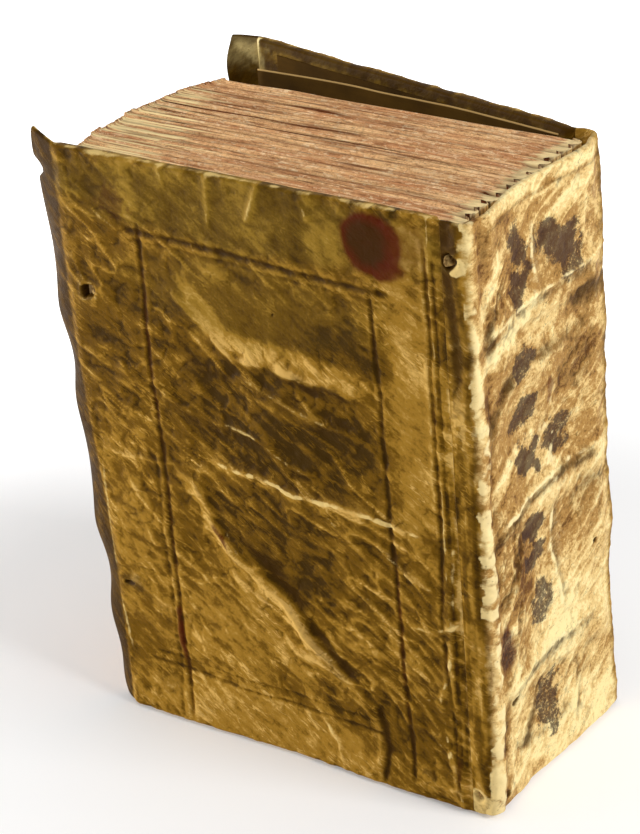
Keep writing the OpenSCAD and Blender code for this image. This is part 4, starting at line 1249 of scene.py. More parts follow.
@dataclass
class SpineSkin:
    """The skin over the spine, from joint to joint, with the bands showing through."""

    sharp_band: float = 1.25
    turn_in: float = 5.0
    crumple: Crumple = Crumple(0.9, 0.3, 0.12, 24.0, 21.0, ((9.0, 85.0, 5.0, 130.0, 0.9),))

    def standing_out(self, y: np.ndarray, z: np.ndarray) -> np.ndarray:
        """How far the skin stands out over supports, in slack waves, and at the open head.

        Args:
            y: place through the thickness.
            z: height.

        Returns:
            The distance in millimetres.
        """
        face = ease((SIZES.face_y - np.abs(y) - 4) / 5)
        bands = np.max([bump(z + 0.04 * y, b, SIZES.band_w / 2 - 0.2, 4.2) for b in SIZES.band_zs], axis=0)
        slack = 0.5 * (1 + degrees_sine(9 * y + 4 * z) * degrees_sine(7 * z))
        head = 1.1 * ease((z - 147.4) / 22) * (0.5 - 0.5 * np.cos(2 * np.pi * y / (SIZES.face_y * 1.6)))
        return face * (bands * self.sharp_band + (1 - bands) * slack + head)

    def surface(self, u: np.ndarray, z: np.ndarray, y: np.ndarray) -> SkinSurface:
        """The relief and paint of the spine's outer face.

        The worn ridge runs beside the near joint, with a hollow on its far side. The hollow and the ridge's
        far side carry painted shade, and each band a painted highlight on its crest and a painted shadow
        under it.

        Args:
            u: distance from the back joint.
            z: height.
            y: place through the thickness.

        Returns:
            The face with everything that lies on it.
        """
        skin = SkinSurface(u, z)
        tone, pale, dark, red, bone = (skin.paint[kind] for kind in (Paint.TONE, Paint.PALE, Paint.DARK,
                                                                     Paint.RED, Paint.BONE))
        self.crumple.apply(skin)
        skin.add(SPINE_MARKS)
        skin.paint_relief_shading(0.35, 0.5)
        low = low_part(z)
        wander = 2.6 * GRAIN.layered(z / 19, z * 0 + 31.5, 2) + 0.9 * GRAIN.layered(u / 4 + 60, z / 4, 3)
        beside = u - 7.0 - wander
        width = 1.5 + 1.7 * low + 1.4 * GRAIN.at(z / 12, u / 9 + 41.5)
        ridge = ease((beside + 0.6) / 1.1) * (1 - ease((beside - 0.5 * width) / (1.6 * width)))
        uneven = 0.8 + 0.9 * GRAIN.layered(z / 6, u / 3, 3) + 0.8 * FINE.layered(z / 1.9, u / 1.7, 2)
        trough = bell(beside - 6.2, 2.2)
        channel = joint_channel(u, z)
        skin.height += (0.35 + 0.35 * low) * ridge * uneven - 0.5 * trough - 0.7 * channel
        worn = 0.5 + 1.6 * FINE.layered(u / 2.6, z / 2.6, 3)
        crest = ease((beside + 0.6 + 1.3 * FINE.layered(u / 2.4, z / 2.4, 3)) / 0.6)
        crest = crest * (1 - ease((beside - width + 2.4 * FINE.layered(u / 2.6, z / 4.6, 4)) / 1.8))
        pale += (0.85 + 0.2 * low) * np.clip(worn + 0.35, 0.25, 1.2) * crest
        shore = bell(u - 9, 5)
        tone += (0.7 - 0.5 * low) * ridge + 1.1 * GRAIN.layered(u / 4 + 5, z / 5, 4) * shore - 0.35 * shore
        # painted shade on the ridge's far side
        tone -= 0.8 * bell(beside - 5.5, 3.0) * (0.35 + 0.35 * low + 0.9 * GRAIN.layered(u / 5, z / 8, 3))
        tone += joint_streaks(u, z)
        # painted shade in the hollow beyond the ridge
        dark += 0.7 * trough * (0.6 + 0.9 * GRAIN.layered(u / 5, z / 9, 2))
        # painted shade in the channel and at the ridge's near foot, warmed with red
        dark += 1.5 * channel + 0.75 * bell(beside + 1.1, 0.7)
        red += 0.55 * channel
        rim_fold = bell(z - 165.6 - 0.7 * GRAIN.layered(u / 11, z * 0 + 3.5, 2), 0.5)
        dark += 0.8 * rim_fold * ease((u - 12) / 5)
        tone += 0.5 * ease((z - 166) / 1.5) * ease((u - 9) / 5)
        # each band: a painted highlight on its crest, pale wear along its top and a painted shadow under it
        for band in SIZES.band_zs:
            above = z + 0.04 * y - band
            tone += 0.35 * bell(above, 3.4)
            pale += 0.4 * bell(above - 1, 1.8) * np.clip(worn, 0, 1)
            dark += 0.6 * bell(above + 5.0, 1.8) * (0.5 + 0.8 * GRAIN.layered(u / 8, z / 8, 2))
        bone += ease((u - 4.0) / 7) * ease((SPINE.run - 6 - u) / 8)
        tone += 0.32 * ease((110 - z) / 60)
        inner = ease((u - SEAM) / SEAM_FADE) * ease((SPINE.run - SEAM - u) / SEAM_FADE)
        skin.height += (seam_height(z) - skin.height) * (1 - inner)
        pale += np.clip(worn, 0, 1) * np.exp(-np.abs(z - SIZES.cover_h) / 0.9)
        return skin

    def build(self, finish: bpy.types.Material) -> bpy.types.Object:
        """Makes the spine's skin.

        Args:
            finish: the vellum.

        Returns:
            The finished piece.
        """
        inside = (SPINE.u > SEAM) & (SPINE.u < SPINE.run - SEAM)
        u = np.concatenate([[SEAM], SPINE.u[inside], [SPINE.run - SEAM]])
        x, y = (np.interp(u, SPINE.u, v) for v in (SPINE.x, SPINE.y))
        out = np.column_stack([np.interp(u, SPINE.u, SPINE.out[:, k]) for k in range(2)])
        thick = np.full(u.shape, JOINT_THICK)
        z, depth, share = ROWS.place(tail_line(u), head_line(u), thick, self.turn_in)
        us, ys = (np.broadcast_to(v[None, :], z.shape) for v in (u, y))
        skin = self.surface(us, z, ys)
        lift = (self.standing_out(ys, z) + skin.height * (0.2 + 0.8 * share)) - depth
        points = np.stack([x + out[:, 0] * lift, y + out[:, 1] * lift, z], -1)
        # painted shade on the turned-in ends
        skin.paint[Paint.DARK] += (1 - share) * 0.6
        uv = np.stack([us, z + depth * np.where(z > UV_MIDDLE, 1, -1)], -1)
        piece = make_piece("spine_vellum", [Patch(points, uv, skin.paint)], [finish])
        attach(piece, "book_block")
        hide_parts("spine_skin")
        return piece


@dataclass
class Leaves:
    """The sewn gatherings: one slice per small bundle of leaves, each a loop in the X-Z plane."""

    slices: int = 241
    loop_points: tuple[int, int, int, int] = (66, 96, 52, 40)
    cap_shares: tuple[float, float, float] = (0.96, 0.5, 0.0005)
    # Gaps between gatherings, painted as shade: place through the thickness, start and end across, and
    # strength.
    gaps: tuple[tuple[float, float, float, float], ...] = (
        (3.5, -64, 30, 1.6), (9.5, -64, 10, 1.6), (2.0, -6, 44, 1.2), (19.0, -64, 0, 1.2), (-8.0, 6, 54, 1.2),
        (-18.0, -20, 50, 0.8), (14.0, -50, 20, 0.9), (24.0, -30, 52, 0.8), (-13.0, -60, -10, 0.9),
        (12.0, -62, -20, 1.3), (-3.0, -60, -30, 1.1), (6.5, -62, -34, 1.1), (-22.0, -62, -40, 1.0))

    def gathering_edges(self) -> np.ndarray:
        """Where each gathering starts and ends through the thickness.

        Returns:
            One more place than there are gatherings.
        """
        i = np.arange(SIZES.gatherings + 1)
        wave = 0.14 * degrees_sine(180 * 7 * i / SIZES.gatherings)
        return SIZES.block_t * ((i + wave) / SIZES.gatherings - 0.5)

    def loop(self) -> tuple[np.ndarray, np.ndarray, np.ndarray]:
        """The points of one slice's loop: up the fore-edge, over the head, down the folds and back.

        Returns:
            Shares across and up, and the side that each point is on, from 0 to 3.
        """
        fore, head, folds, tail = self.loop_points
        up = 0.5 - 0.5 * np.cos(np.linspace(0, np.pi, fore))
        over = np.linspace(0, 1, head)
        down = 0.5 + 0.5 * np.cos(np.linspace(0, np.pi, folds))
        back = np.linspace(1, 0, tail)
        across = np.concatenate([0 * up, over[1:], 1 + 0 * down[1:], back[1:-1]])
        high = np.concatenate([up, 1 + 0 * over[1:], down[1:], 0 * back[1:-1]])
        kind = np.concatenate([0 * up, 1 + 0 * over[1:], 2 + 0 * down[1:], 3 + 0 * back[1:-1]])
        return across, high, kind

    def block(self) -> Patch:
        """The whole block without its first and last page.

        Returns:
            The grid, one slice to a row, with its paint.
        """
        edges = self.gathering_edges()
        y = np.linspace(edges[0], edges[-1], self.slices)
        number = np.clip(np.searchsorted(edges, y, side="right") - 1, 0, SIZES.gatherings - 1)
        half = (edges[number + 1] - edges[number]) / 2
        t = np.clip((y - edges[number] - half) / half, -1, 1)
        away = np.abs(2 * y / SIZES.block_t)[:, None]
        spine = SIZES.spine_x - 0.15 - SIZES.fold_depth * (1 - np.sqrt(np.clip(1 - t**2, 0, 1)))
        swell = SIZES.fore_swell * (2 * y / SIZES.block_t) ** 2 + SIZES.fore_slant * y / SIZES.block_t
        jog = SIZES.leaf_jog * (0.5 + 0.5 * degrees_sine(137 * number))
        fore = -SIZES.leaf_w / 2 + swell + jog
        top = SIZES.leaf_h - SIZES.leaf_jog * (0.5 + 0.5 * degrees_sine(101 * number + 90))
        across, high, kind = self.loop()
        x = fore[:, None] + (spine - fore)[:, None] * across[None, :]
        z = top[:, None] * high[None, :]
        ys = np.broadcast_to(y[:, None], x.shape)
        index = np.arange(self.slices)[:, None]
        uneven = np.abs(FINE.at(index * 1.7 + x / 55, 3.3 + z / 60)) ** 1.5
        coarse = 0.5 + 0.5 * GRAIN.layered(y[:, None] / 2.2, x / 60 + z / 60, 2)
        drop = 0.9 * uneven + 0.8 * coarse
        at_head, at_fore = kind == 1, kind == 0
        at_spine = (kind == 2) & (high > 0.01)
        at_top = at_head[None, :] & (across[None, :] > 0)
        reach = 7.0 + 4.5 * FINE.at(number[:, None] * 3.7, x * 0 + 2.5)
        inside = ease((x - spine[:, None] + reach) / reach)
        crease = bell((1 - np.abs(t))[:, None], 0.15 + 0.12 * inside) * (1 - away**40)
        drop = drop * (1 - 0.6 * inside) + 2.6 * crease * inside + 0.9 * t[:, None] ** 2 * inside
        z = z - np.where(at_head[None, :], drop, 0) * ease(across[None, :] / 0.02 + 0.2)
        x = x + np.where(at_fore[None, :], 0.7 * drop, 0)
        x = x - np.where(at_spine[None, :], 0.25 * uneven, 0)
        wave = 0.45 * GRAIN.layered(x / 26, z / 30 + y[:, None] / 9, 2) * (1 - away**4)
        points = np.stack([x, ys + wave, z], -1)
        # Leaves that drop below their neighbours are painted darker: painted shade.
        dark = 0.9 * ease((uneven - 0.4) / 0.3)
        # painted shade along the gaps between gatherings
        for place, start, end, strength in self.gaps:
            line = bell(ys - place + 0.5 * GRAIN.at(x / 16, place), 0.3)
            dark = dark + strength * line * ease((x - start) / 8) * ease((end - x) / 8)
        fold = ease((x - spine[:, None] + 6.5 + 2.4 * FINE.at(index * 0.8, x / 6)) / 3.0) * at_top
        chip = ease(0.5 + 1.6 * FINE.layered(x / 3, ys / 1.6, 3)) * fold
        dark = dark * (1 - 0.8 * fold) + 0.45 * chip
        # painted shade in the notches between the folded gatherings
        dark = dark + crease * np.where(at_spine[None, :], 1.2, 0.25 + 1.2 * fold)
        streak = FINE.layered(index * 0.55 + 3, x / 24 + 5, 3)
        outer = ease((-26 - x - 0.5 * ys) / 30) * at_top
        cream = ease((streak - 0.2 + 0.4 * outer) / 0.3) * (0.35 + 1.1 * outer)
        edge = ease((-ys - 27.2) / 1.6) * ease(0.4 + 1.6 * FINE.layered(x / 7, ys * 0 + 8.5, 3)) * at_top
        paint = {Paint.DARK: dark,
                 Paint.PALE: np.where(at_spine[None, :], 0.8, 0) + 0.9 * fold + cream + edge + 0 * x,
                 Paint.TONE: 0.5 * GRAIN.layered(index * 0.9, x / 45 + z / 45, 2)}
        return Patch(points, np.stack([x + z, ys], -1), paint, ring=True)

    def build(self, edges: bpy.types.Material, page: bpy.types.Material) -> bpy.types.Object:
        """Makes the leaves, closed by their first and last page.

        Args:
            edges: the finish of the cut edges and folds.
            page: the finish of the outer pages.

        Returns:
            The finished piece.
        """
        patch = self.block()
        ends = []
        across, high, _ = self.loop()
        for row, turned in ((patch.points[0], True), (patch.points[-1], False)):
            size = np.ptp(row, axis=0)
            away = np.stack([size[0] * (across - 0.5), 0 * across, size[2] * (high - 0.5)], -1)
            shares = np.array(self.cap_shares)[:, None, None]
            cap = np.concatenate([row[None], row.min(axis=0) + size / 2 + away * shares])
            ends.append(Patch(cap, cap[..., [0, 2]], {}, turned=turned, ring=True, finish=1))
        piece = make_piece("leaves", [patch] + ends, [edges, page])
        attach(piece, "book_block")
        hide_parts("text_block")
        return piece


@dataclass
class Flyleaf:
    """The loose leaf inside the front cover, which lifts with it."""

    thick: float = 0.2
    start: float = 3.0
    width: float = 104.0
    gap: float = 0.05
    wave: float = 1.1
    columns: int = 56
    rows: int = 46
    weight_start: float = -115.0
    weight_end: float = 270.0

    def build(self, page: bpy.types.Material) -> bpy.types.Object:
        """Makes the leaf flat on the block, then turns each point by its share of the gape.

        Args:
            page: the finish of a page.

        Returns:
            The finished piece.
        """
        s = np.linspace(self.start, self.width, self.columns)[None, :]
        rows = np.linspace(1.0, SIZES.leaf_h - 2.0, self.rows)
        z = np.concatenate([rows, SIZES.leaf_h - np.array([1.5, 1.1, 0.85, 0.6])])[:, None]
        ragged = 0.8 * GRAIN.layered(z / 15, z * 0 + 4.5, 3)
        s = s + ragged * (s / self.width) ** 4
        share = 1 - ease((s - self.weight_start) / (self.weight_end - self.weight_start))
        turn = np.radians(SIZES.gape) * share
        wave = self.wave * ease(0.5 + GRAIN.layered(s / 26, z / 34, 2)) * ease(s / 50)
        sides = []
        rest = SIZES.face_y - SIZES.block_t / 2 - self.gap
        for d in (rest - self.thick, rest):
            x = SIZES.joint_x - s * np.cos(turn) - d * np.sin(turn)
            y = SIZES.face_y + s * np.sin(turn) - d * np.cos(turn) + wave
            sides.append(np.stack([x + 0 * z, y + 0 * z, z + 0 * s], -1))
        loop = np.concatenate([sides[0], sides[1][:, ::-1]], axis=1)
        edge = {Paint.PALE: ease((loop[..., 2] - SIZES.leaf_h + 1.1) / 0.3)}
        ring = Patch(loop, loop[..., [0, 2]], edge, ring=True)
        ends = [np.stack([side[k] for side in sides]) for k in (0, -1)]
        lids = [Patch(end, end[..., [0, 2]], {Paint.PALE: 1.0}, turned=end is ends[0]) for end in ends]
        piece = make_piece("loose_flyleaf", [ring] + lids, [page])
        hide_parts("flyleaf")
        angle = math.radians(SIZES.gape)
        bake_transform(piece)
        return piece


@dataclass(frozen=True)
class TornThong:
    """The broken end of a thong: a twisted strand whose tip frays into lobes."""

    name: str
    node: str
    body: str
    foot: tuple[float, float, float]
    tip: tuple[float, float, float]
    radius: float
    seed: int
    rings: int = 15
    sides: int = 24

    def build(self, finish: bpy.types.Material) -> bpy.types.Object:
        """Makes a tube from foot to tip; its radius is uneven round the tube and shrinks at the tip.

        Args:
            finish: the thong's finish.

        Returns:
            The finished piece.
        """
        grain = Grain(self.seed)
        t = np.linspace(0, 1, self.rings)[:, None]
        a = np.linspace(0, 2 * np.pi, self.sides + 1)[None, :-1]
        foot, tip = np.array(self.foot), np.array(self.tip)
        ahead = (tip - foot) / np.linalg.norm(tip - foot)
        side = np.cross(ahead, (0, 0, 1.0))
        side /= np.linalg.norm(side)
        up = np.cross(side, ahead)
        lobes = 1 + 0.16 * np.sin(3 * a + 5 * t) + 0.2 * grain.at(np.cos(a) * 2 + 5, np.sin(a) * 2 + 3 * t)
        radius = self.radius * lobes * np.sqrt(np.clip(1 - (np.clip(t - 0.55, 0, 1) / 0.45) ** 3, 0, 1))
        bend = 0.25 * self.radius * np.sin(3 * t)
        centre = foot + (tip - foot) * t[..., None] + up * bend[..., None]
        points = centre + radius[..., None] * (np.cos(a)[..., None] * side + np.sin(a)[..., None] * up)
        paint = {Paint.PALE: 0.5 + 0 * radius}
        tube = Patch(points, points[..., [0, 2]], paint, ring=True, turned=True)
        piece = make_piece(self.name, [tube], [finish])
        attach(piece, self.body)
        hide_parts(self.node)
        return piece


# Finishes

def feed(tree: bpy.types.NodeTree, entry: bpy.types.NodeSocket, value: object) -> None:
    """Links an output to a node's input, or sets the input to a value.

    Args:
        tree: the node tree.
        entry: the input.
        value: an output socket, or a value.
    """
    if isinstance(value, bpy.types.NodeSocket):
        tree.links.new(value, entry)
    else:
        entry.default_value = value


def add(tree: bpy.types.NodeTree, kind: str, values: dict | None = None,
        **settings: object) -> bpy.types.Node:
    """Adds a shader node with its settings, values and links.

    Args:
        tree: the node tree.
        kind: the node's type without "ShaderNode".
        values: what goes into each input, by name or number: an output socket, or a value.
        settings: the node's own settings.

    Returns:
        The node.
    """
    node = tree.nodes.new("ShaderNode" + kind)
    for name, value in settings.items():
        setattr(node, name, value)
    for key, value in (values or {}).items():
        feed(tree, node.inputs[key], value)
    return node


class Tree:
    """A new material's nodes, with the few sums that its colours are made of."""

    def __init__(self, name: str) -> None:
        """Starts a material with a principled shader.

        Args:
            name: the material's name.
        """
        self.material = bpy.data.materials.new(name)
        self.material.use_nodes = True
        self.tree = self.material.node_tree
        self.tree.nodes.clear()
        self.shader = add(self.tree, "BsdfPrincipled")
        add(self.tree, "OutputMaterial", {"Surface": self.shader.outputs[0]})

    def place(self) -> bpy.types.NodeSocket:
        """A point's place on the piece, in metres."""
        return add(self.tree, "TexCoord").outputs["Object"]

    def painted(self, kind: Paint) -> bpy.types.NodeSocket:
        """What is painted on the piece."""
        return add(self.tree, "Attribute", attribute_name=kind.value).outputs["Fac"]

    def noise(self, where: bpy.types.NodeSocket, size: float, detail: float = 4.0,
              rough: float = 0.6) -> bpy.types.NodeSocket:
        """Noise between 0 and 1 whose largest lumps are `size` millimetres across."""
        return add(self.tree, "TexNoise", {"Vector": where, "Scale": 1000 / size, "Detail": detail,
                                           "Roughness": rough}).outputs[0]

    def stretched(self, where: bpy.types.NodeSocket, lengths: tuple[float, float, float],
                  turn: float = 0.0) -> bpy.types.NodeSocket:
        """Coordinates for a pattern drawn out by `lengths`, whose first axis is turned by `turn` degrees."""
        values = {"Vector": where, "Rotation": (0, 0, math.radians(turn)), "Scale": lengths}
        return add(self.tree, "Mapping", values, vector_type="TEXTURE").outputs[0]

    def math(self, operation: str, a: object, b: object = 0.0, clamp: bool = False) -> bpy.types.NodeSocket:
        """One sum of two values."""
        return add(self.tree, "Math", {0: a, 1: b}, operation=operation, use_clamp=clamp).outputs[0]

    def times(self, a: object, b: object, clamp: bool = False) -> bpy.types.NodeSocket:
        """The product of two values."""
        return self.math("MULTIPLY", a, b, clamp)

    def centred(self, noise: object) -> bpy.types.NodeSocket:
        """Noise less its middle, 0.5."""
        return self.math("SUBTRACT", noise, 0.5)

    def ramp(self, value: object, low: float, high: float, to_low: float = 0.0,
             to_high: float = 1.0) -> bpy.types.NodeSocket:
        """A value between low and high, eased to the new range."""
        return add(self.tree, "MapRange", {0: value, 1: low, 2: high, 3: to_low, 4: to_high},
                   interpolation_type="SMOOTHSTEP").outputs[0]

    def mix(self, share: object, a: object, b: object) -> bpy.types.NodeSocket:
        """A colour between a and b, each a hex value or a socket."""
        first, second = (linear(c) if isinstance(c, str) else c for c in (a, b))
        return add(self.tree, "Mix", {0: share, 6: first, 7: second}, data_type="RGBA").outputs[2]

    def over(self, colour: object, top: object, mask: object, share: float,
             clamp: bool = False) -> bpy.types.NodeSocket:
        """A colour with another laid over it where the mask is, at most by the share."""
        return self.mix(self.times(mask, share, clamp), colour, top)

    def ragged(self, amount: object, noise: object, low: float, high: float,
               much: float) -> bpy.types.NodeSocket:
        """A painted amount with its edge broken up by noise.

        Args:
            amount: what is painted.
            noise: what breaks it up, between 0 and 1.
            low: the broken amount that gives 0.
            high: the broken amount that gives 1.
            much: how far the noise shifts the amount.

        Returns:
            The eased amount, between 0 and 1.
        """
        gated = self.times(self.times(self.centred(noise), much), self.ramp(amount, 0.02, 0.3))
        return self.ramp(self.math("ADD", amount, gated), low, high)

    def bump(self, height: object, distance: float, under: object | None = None) -> bpy.types.NodeSocket:
        """A bumped normal.

        Args:
            height: the relief, between 0 and 1.
            distance: millimetres from low to high.
            under: a bumped normal that this one is laid on.

        Returns:
            The normal.
        """
        values = {"Height": height, "Distance": distance * MM, "Strength": 1.0}
        if under is not None:
            values["Normal"] = under
        return add(self.tree, "Bump", values).outputs[0]

    def finished(self, colour: object, rough: object, normal: object, gloss: float) -> bpy.types.Material:
        """Gives the shader what it shows.

        Args:
            colour: the base colour.
            rough: the roughness.
            normal: the bumped normal.
            gloss: the strength of the reflection.

        Returns:
            The material.
        """
        for name, value in (("Base Color", colour), ("Roughness", rough), ("Normal", normal),
                            ("Specular IOR Level", gloss)):
            feed(self.tree, self.shader.inputs[name], value)
        return self.material


@dataclass(frozen=True)
class LimpVellum:
    """Limp vellum: calf skin limed, scraped and dried under tension, then handled for centuries.

    The eye gets a hard, slightly glossy skin in golden browns, with crests pale from wear and painted
    highlights, folds brown from dirt and painted shade, follicle specks and water stains; over the spine it
    is bleached to bone.
    """

    name: str = "limp_vellum"
    umber: str = "#3C2803"
    brown: str = "#6A4A0B"
    gold: str = "#9A7225"
    straw: str = "#D0A658"
    olive_dark: str = "#453206"
    olive: str = "#8A7024"
    bone_dark: str = "#65401A"
    bone_mid: str = "#A87F45"
    bone: str = "#DCBA7A"
    bone_light: str = "#F3DDA0"
    crest: str = "#E2C37C"
    bleached_crest: str = "#F4E0A8"
    # dirt: the colour of DARK, which is dirt, stains and painted shade, and of cracks and specks
    dirt: str = "#372203"
    red_stain_and_warm_shade: str = "#4E1203"
    ink: str = "#3B2820"
    glow: str = "#E6D08C"
    rough: float = 0.46
    lie: float = -34.0

    def golden(self, t: Tree, tone: bpy.types.NodeSocket) -> bpy.types.NodeSocket:
        """The cover's browns from dark to light, greener near the head where it was handled less, turning to
        the pale painted glow of light through the skin where GLOW passes 1.

        Args:
            t: the material's nodes.
            tone: the shade, from about -1 to 1.5.

        Returns:
            The colour.
        """
        low = t.mix(t.ramp(tone, -1.1, -0.25), self.umber, self.brown)
        high = t.mix(t.ramp(tone, 0.45, 1.3), self.gold, self.straw)
        plain = t.mix(t.ramp(tone, -0.25, 0.45), low, high)
        glow = t.painted(Paint.GLOW)
        green = t.mix(t.ramp(tone, -0.8, 0.9), self.olive_dark, self.olive)
        plain = t.over(plain, green, glow, 0.6, True)
        return t.mix(t.ramp(glow, 1.0, 1.6), plain, self.glow)

    def bleached(self, t: Tree, tone: bpy.types.NodeSocket) -> bpy.types.NodeSocket:
        """The spine's bone colours from brown hollows to pale worn tops.

        Args:
            t: the material's nodes.
            tone: the shade, from about -1 to 1.

        Returns:
            The colour.
        """
        low = t.mix(t.ramp(tone, -1.1, -0.35), self.bone_dark, self.bone_mid)
        high = t.mix(t.ramp(tone, 0.2, 0.8), self.bone, self.bone_light)
        return t.mix(t.ramp(tone, -0.35, 0.25), low, high)

    def build(self) -> bpy.types.Material:
        """Makes the material.

        Returns:
            The vellum.
        """
        t = Tree(self.name)
        uv = add(t.tree, "UVMap", uv_map="skin").outputs[0]
        clouds = t.noise(uv, 14, 5, 0.62)
        blotches = t.noise(uv, 3.6, 5, 0.68)
        fine = t.noise(uv, 0.8, 3, 0.65)
        fibre = t.noise(t.stretched(uv, (3.2, 1.0, 1.0), self.lie), 1.5, 4, 0.65)
        bone = t.painted(Paint.BONE)
        fibre = t.mix(bone, fibre, t.noise(uv, 1.5, 5, 0.78))
        flow = t.mix(bone, t.noise(t.stretched(uv, (2.6, 1.0, 1.0), self.lie), 2.6, 5, 0.66), blotches)
        calm = t.ramp(t.painted(Paint.GLOW), 0.1, 0.9, 1.0, 0.35)
        tone = t.painted(Paint.TONE)
        for noise, much in ((clouds, 1.0), (flow, 1.5), (fine, t.ramp(bone, 0.2, 0.8, 0.9, 1.4)),
                            (fibre, t.times(calm, t.ramp(bone, 0.2, 0.8, 1.3, 1.9)))):
            tone = t.math("ADD", tone, t.times(t.centred(noise), much))
        hair = t.noise(t.stretched(uv, (4.5, 1.0, 1.0), self.lie + 2), 4.2, 3, 0.6)
        hair = t.ramp(t.math("ABSOLUTE", t.centred(hair)), 0.02, 0.0)
        hair = t.times(t.times(hair, t.ramp(clouds, 0.4, 0.6)), calm)
        hair = t.times(hair, t.ramp(bone, 0.2, 0.8, 1.0, 0.0))
        tone = t.math("ADD", tone, t.times(hair, 0.7))
        colour = t.mix(t.ragged(bone, blotches, 0.25, 0.8, 0.9), self.golden(t, tone), self.bleached(t, tone))
        # RED: red stains, and the red-brown warmth of the painted shade in the joint channel
        red = t.ragged(t.painted(Paint.RED), blotches, 0.1, 1.5, 0.8)
        colour = t.over(colour, self.red_stain_and_warm_shade, red, 0.9)
        drawn_out = t.noise(t.stretched(uv, (3.0, 1.0, 1.0), self.lie), 1.2, 5, 0.75)
        broken = t.mix(bone, drawn_out, t.noise(uv, 1.9, 4, 0.7))
        # DARK: dirt, stains and painted shade, laid on in the dirt colour
        dark = t.ragged(t.painted(Paint.DARK), broken, 0.05, 1.5, 1.3)
        colour = t.over(colour, self.dirt, dark, 0.86)
        crack = t.noise(t.stretched(uv, (2.6, 1.0, 1.0), 38), 5.5, 4, 0.62)
        crack = t.ramp(t.math("ABSOLUTE", t.centred(crack)), 0.011, 0.0)
        crack = t.times(t.times(crack, bone), t.ramp(blotches, 0.42, 0.62))
        colour = t.over(colour, self.dirt, crack, 0.6, True)
        flakes = t.noise(uv, 1.3, 5, 0.75)
        scraped = t.math("ADD", t.times(flakes, 0.55), t.times(t.noise(uv, 0.7, 3, 0.7), 0.45))
        ink = t.ragged(t.painted(Paint.INK), scraped, 0.3, 0.85, 3.4)
        colour = t.over(colour, self.ink, ink, 0.86)
        # PALE: wear and painted highlights
        pale = t.ragged(t.painted(Paint.PALE), flakes, 0.42, 1.1, 1.15)
        colour = t.over(colour, t.mix(bone, self.crest, self.bleached_crest), pale, 0.85)
        specks = t.ramp(t.noise(uv, 0.9, 3, 0.6), 0.62, 0.76)
        colour = t.over(colour, self.dirt, specks, 0.55)
        rough = t.ramp(blotches, 0.2, 0.8, self.rough - 0.1, self.rough + 0.14)
        rough = t.math("ADD", rough, t.times(pale, 0.15))
        grain = t.math("ADD", t.math("ADD", fine, flakes), hair)
        t.shader.inputs["IOR"].default_value = 1.5
        return t.finished(colour, rough, t.bump(grain, 0.12, t.bump(flow, 0.42)), 0.03)


@dataclass(frozen=True)
class PaperEdges:
    """Cut edges of old rag paper: hundreds of soft leaves, toned brown, with painted shade between them.

    The eye gets streaks along the leaves, pale where a leaf stands proud, a painted highlight, and dark where
    one is short, painted shade.
    """

    name: str = "rag_paper_edges"
    toned: str = "#EEBF86"
    red: str = "#C58A5C"
    cream: str = "#F6D9AC"
    gap: str = "#5A3018"
    speck: str = "#A8744C"
    worn: str = "#F6DFA4"

    def build(self) -> bpy.types.Material:
        """Makes the material, streaked across Y.

        Returns:
            The paper edges.
        """
        t = Tree(self.name)
        place = t.place()
        leaf = t.noise(t.stretched(place, (14.0, 1.0, 14.0)), 0.7, 4, 0.72)
        bundle = t.noise(t.stretched(place, (9.0, 1.0, 9.0)), 3.4, 5, 0.66)
        short = t.noise(t.stretched(place, (3.2, 1.0, 3.2)), 1.0, 5, 0.8)
        speck = t.noise(place, 1.0, 5, 0.85)
        colour = t.mix(t.ramp(bundle, 0.36, 0.64), self.red, self.toned)
        colour = t.over(colour, self.speck, t.ramp(speck, 0.47, 0.6), 0.6)
        # painted highlight on leaves that stand proud
        colour = t.over(colour, self.cream, t.ramp(leaf, 0.54, 0.64), 0.4)
        colour = t.over(colour, self.cream, t.ramp(short, 0.54, 0.62), 0.75)
        # painted shade on short leaves and between leaves
        colour = t.over(colour, self.gap, t.ramp(leaf, 0.45, 0.36), 0.55)
        colour = t.over(colour, self.gap, t.ramp(short, 0.43, 0.33), 0.55)
        colour = t.over(colour, self.worn, t.ragged(t.painted(Paint.PALE), speck, 0.2, 1.0, 0.8), 0.85)
        # DARK from the leaves: painted shade in the gaps, on short leaves and in the notches, with chips near
        # the folds
        colour = t.over(colour, self.gap, t.painted(Paint.DARK), 0.75, True)
        return t.finished(colour, 0.9, t.bump(speck, 0.15, t.bump(leaf, 0.35)), 0.04)


@dataclass(frozen=True)
class StainedPaper:
    """A page or pasted leaf of laid rag paper with its brown stains."""

    name: str
    light: str
    brown: str
    size: float = 22.0
    edge: str = "#C8A468"

    def build(self) -> bpy.types.Material:
        """Makes the material.

        Returns:
            The stained paper.
        """
        t = Tree(self.name)
        place = t.place()
        cloud = t.noise(place, self.size, 5, 0.6)
        fox = t.noise(place, 3.0, 4, 0.65)
        laid = t.noise(t.stretched(place, (30.0, 30.0, 1.0)), 1.2, 2, 0.5)
        colour = t.mix(t.ramp(cloud, 0.3, 0.72), self.light, self.brown)
        colour = t.over(colour, self.brown, t.ramp(fox, 0.6, 0.75), 0.4)
        colour = t.over(colour, self.brown, t.ramp(laid, 0.4, 0.7), 0.12)
        colour = t.over(colour, self.edge, t.painted(Paint.PALE), 0.8, True)
        return t.finished(colour, 0.85, t.bump(laid, 0.03, t.bump(fox, 0.08)), 0.04)


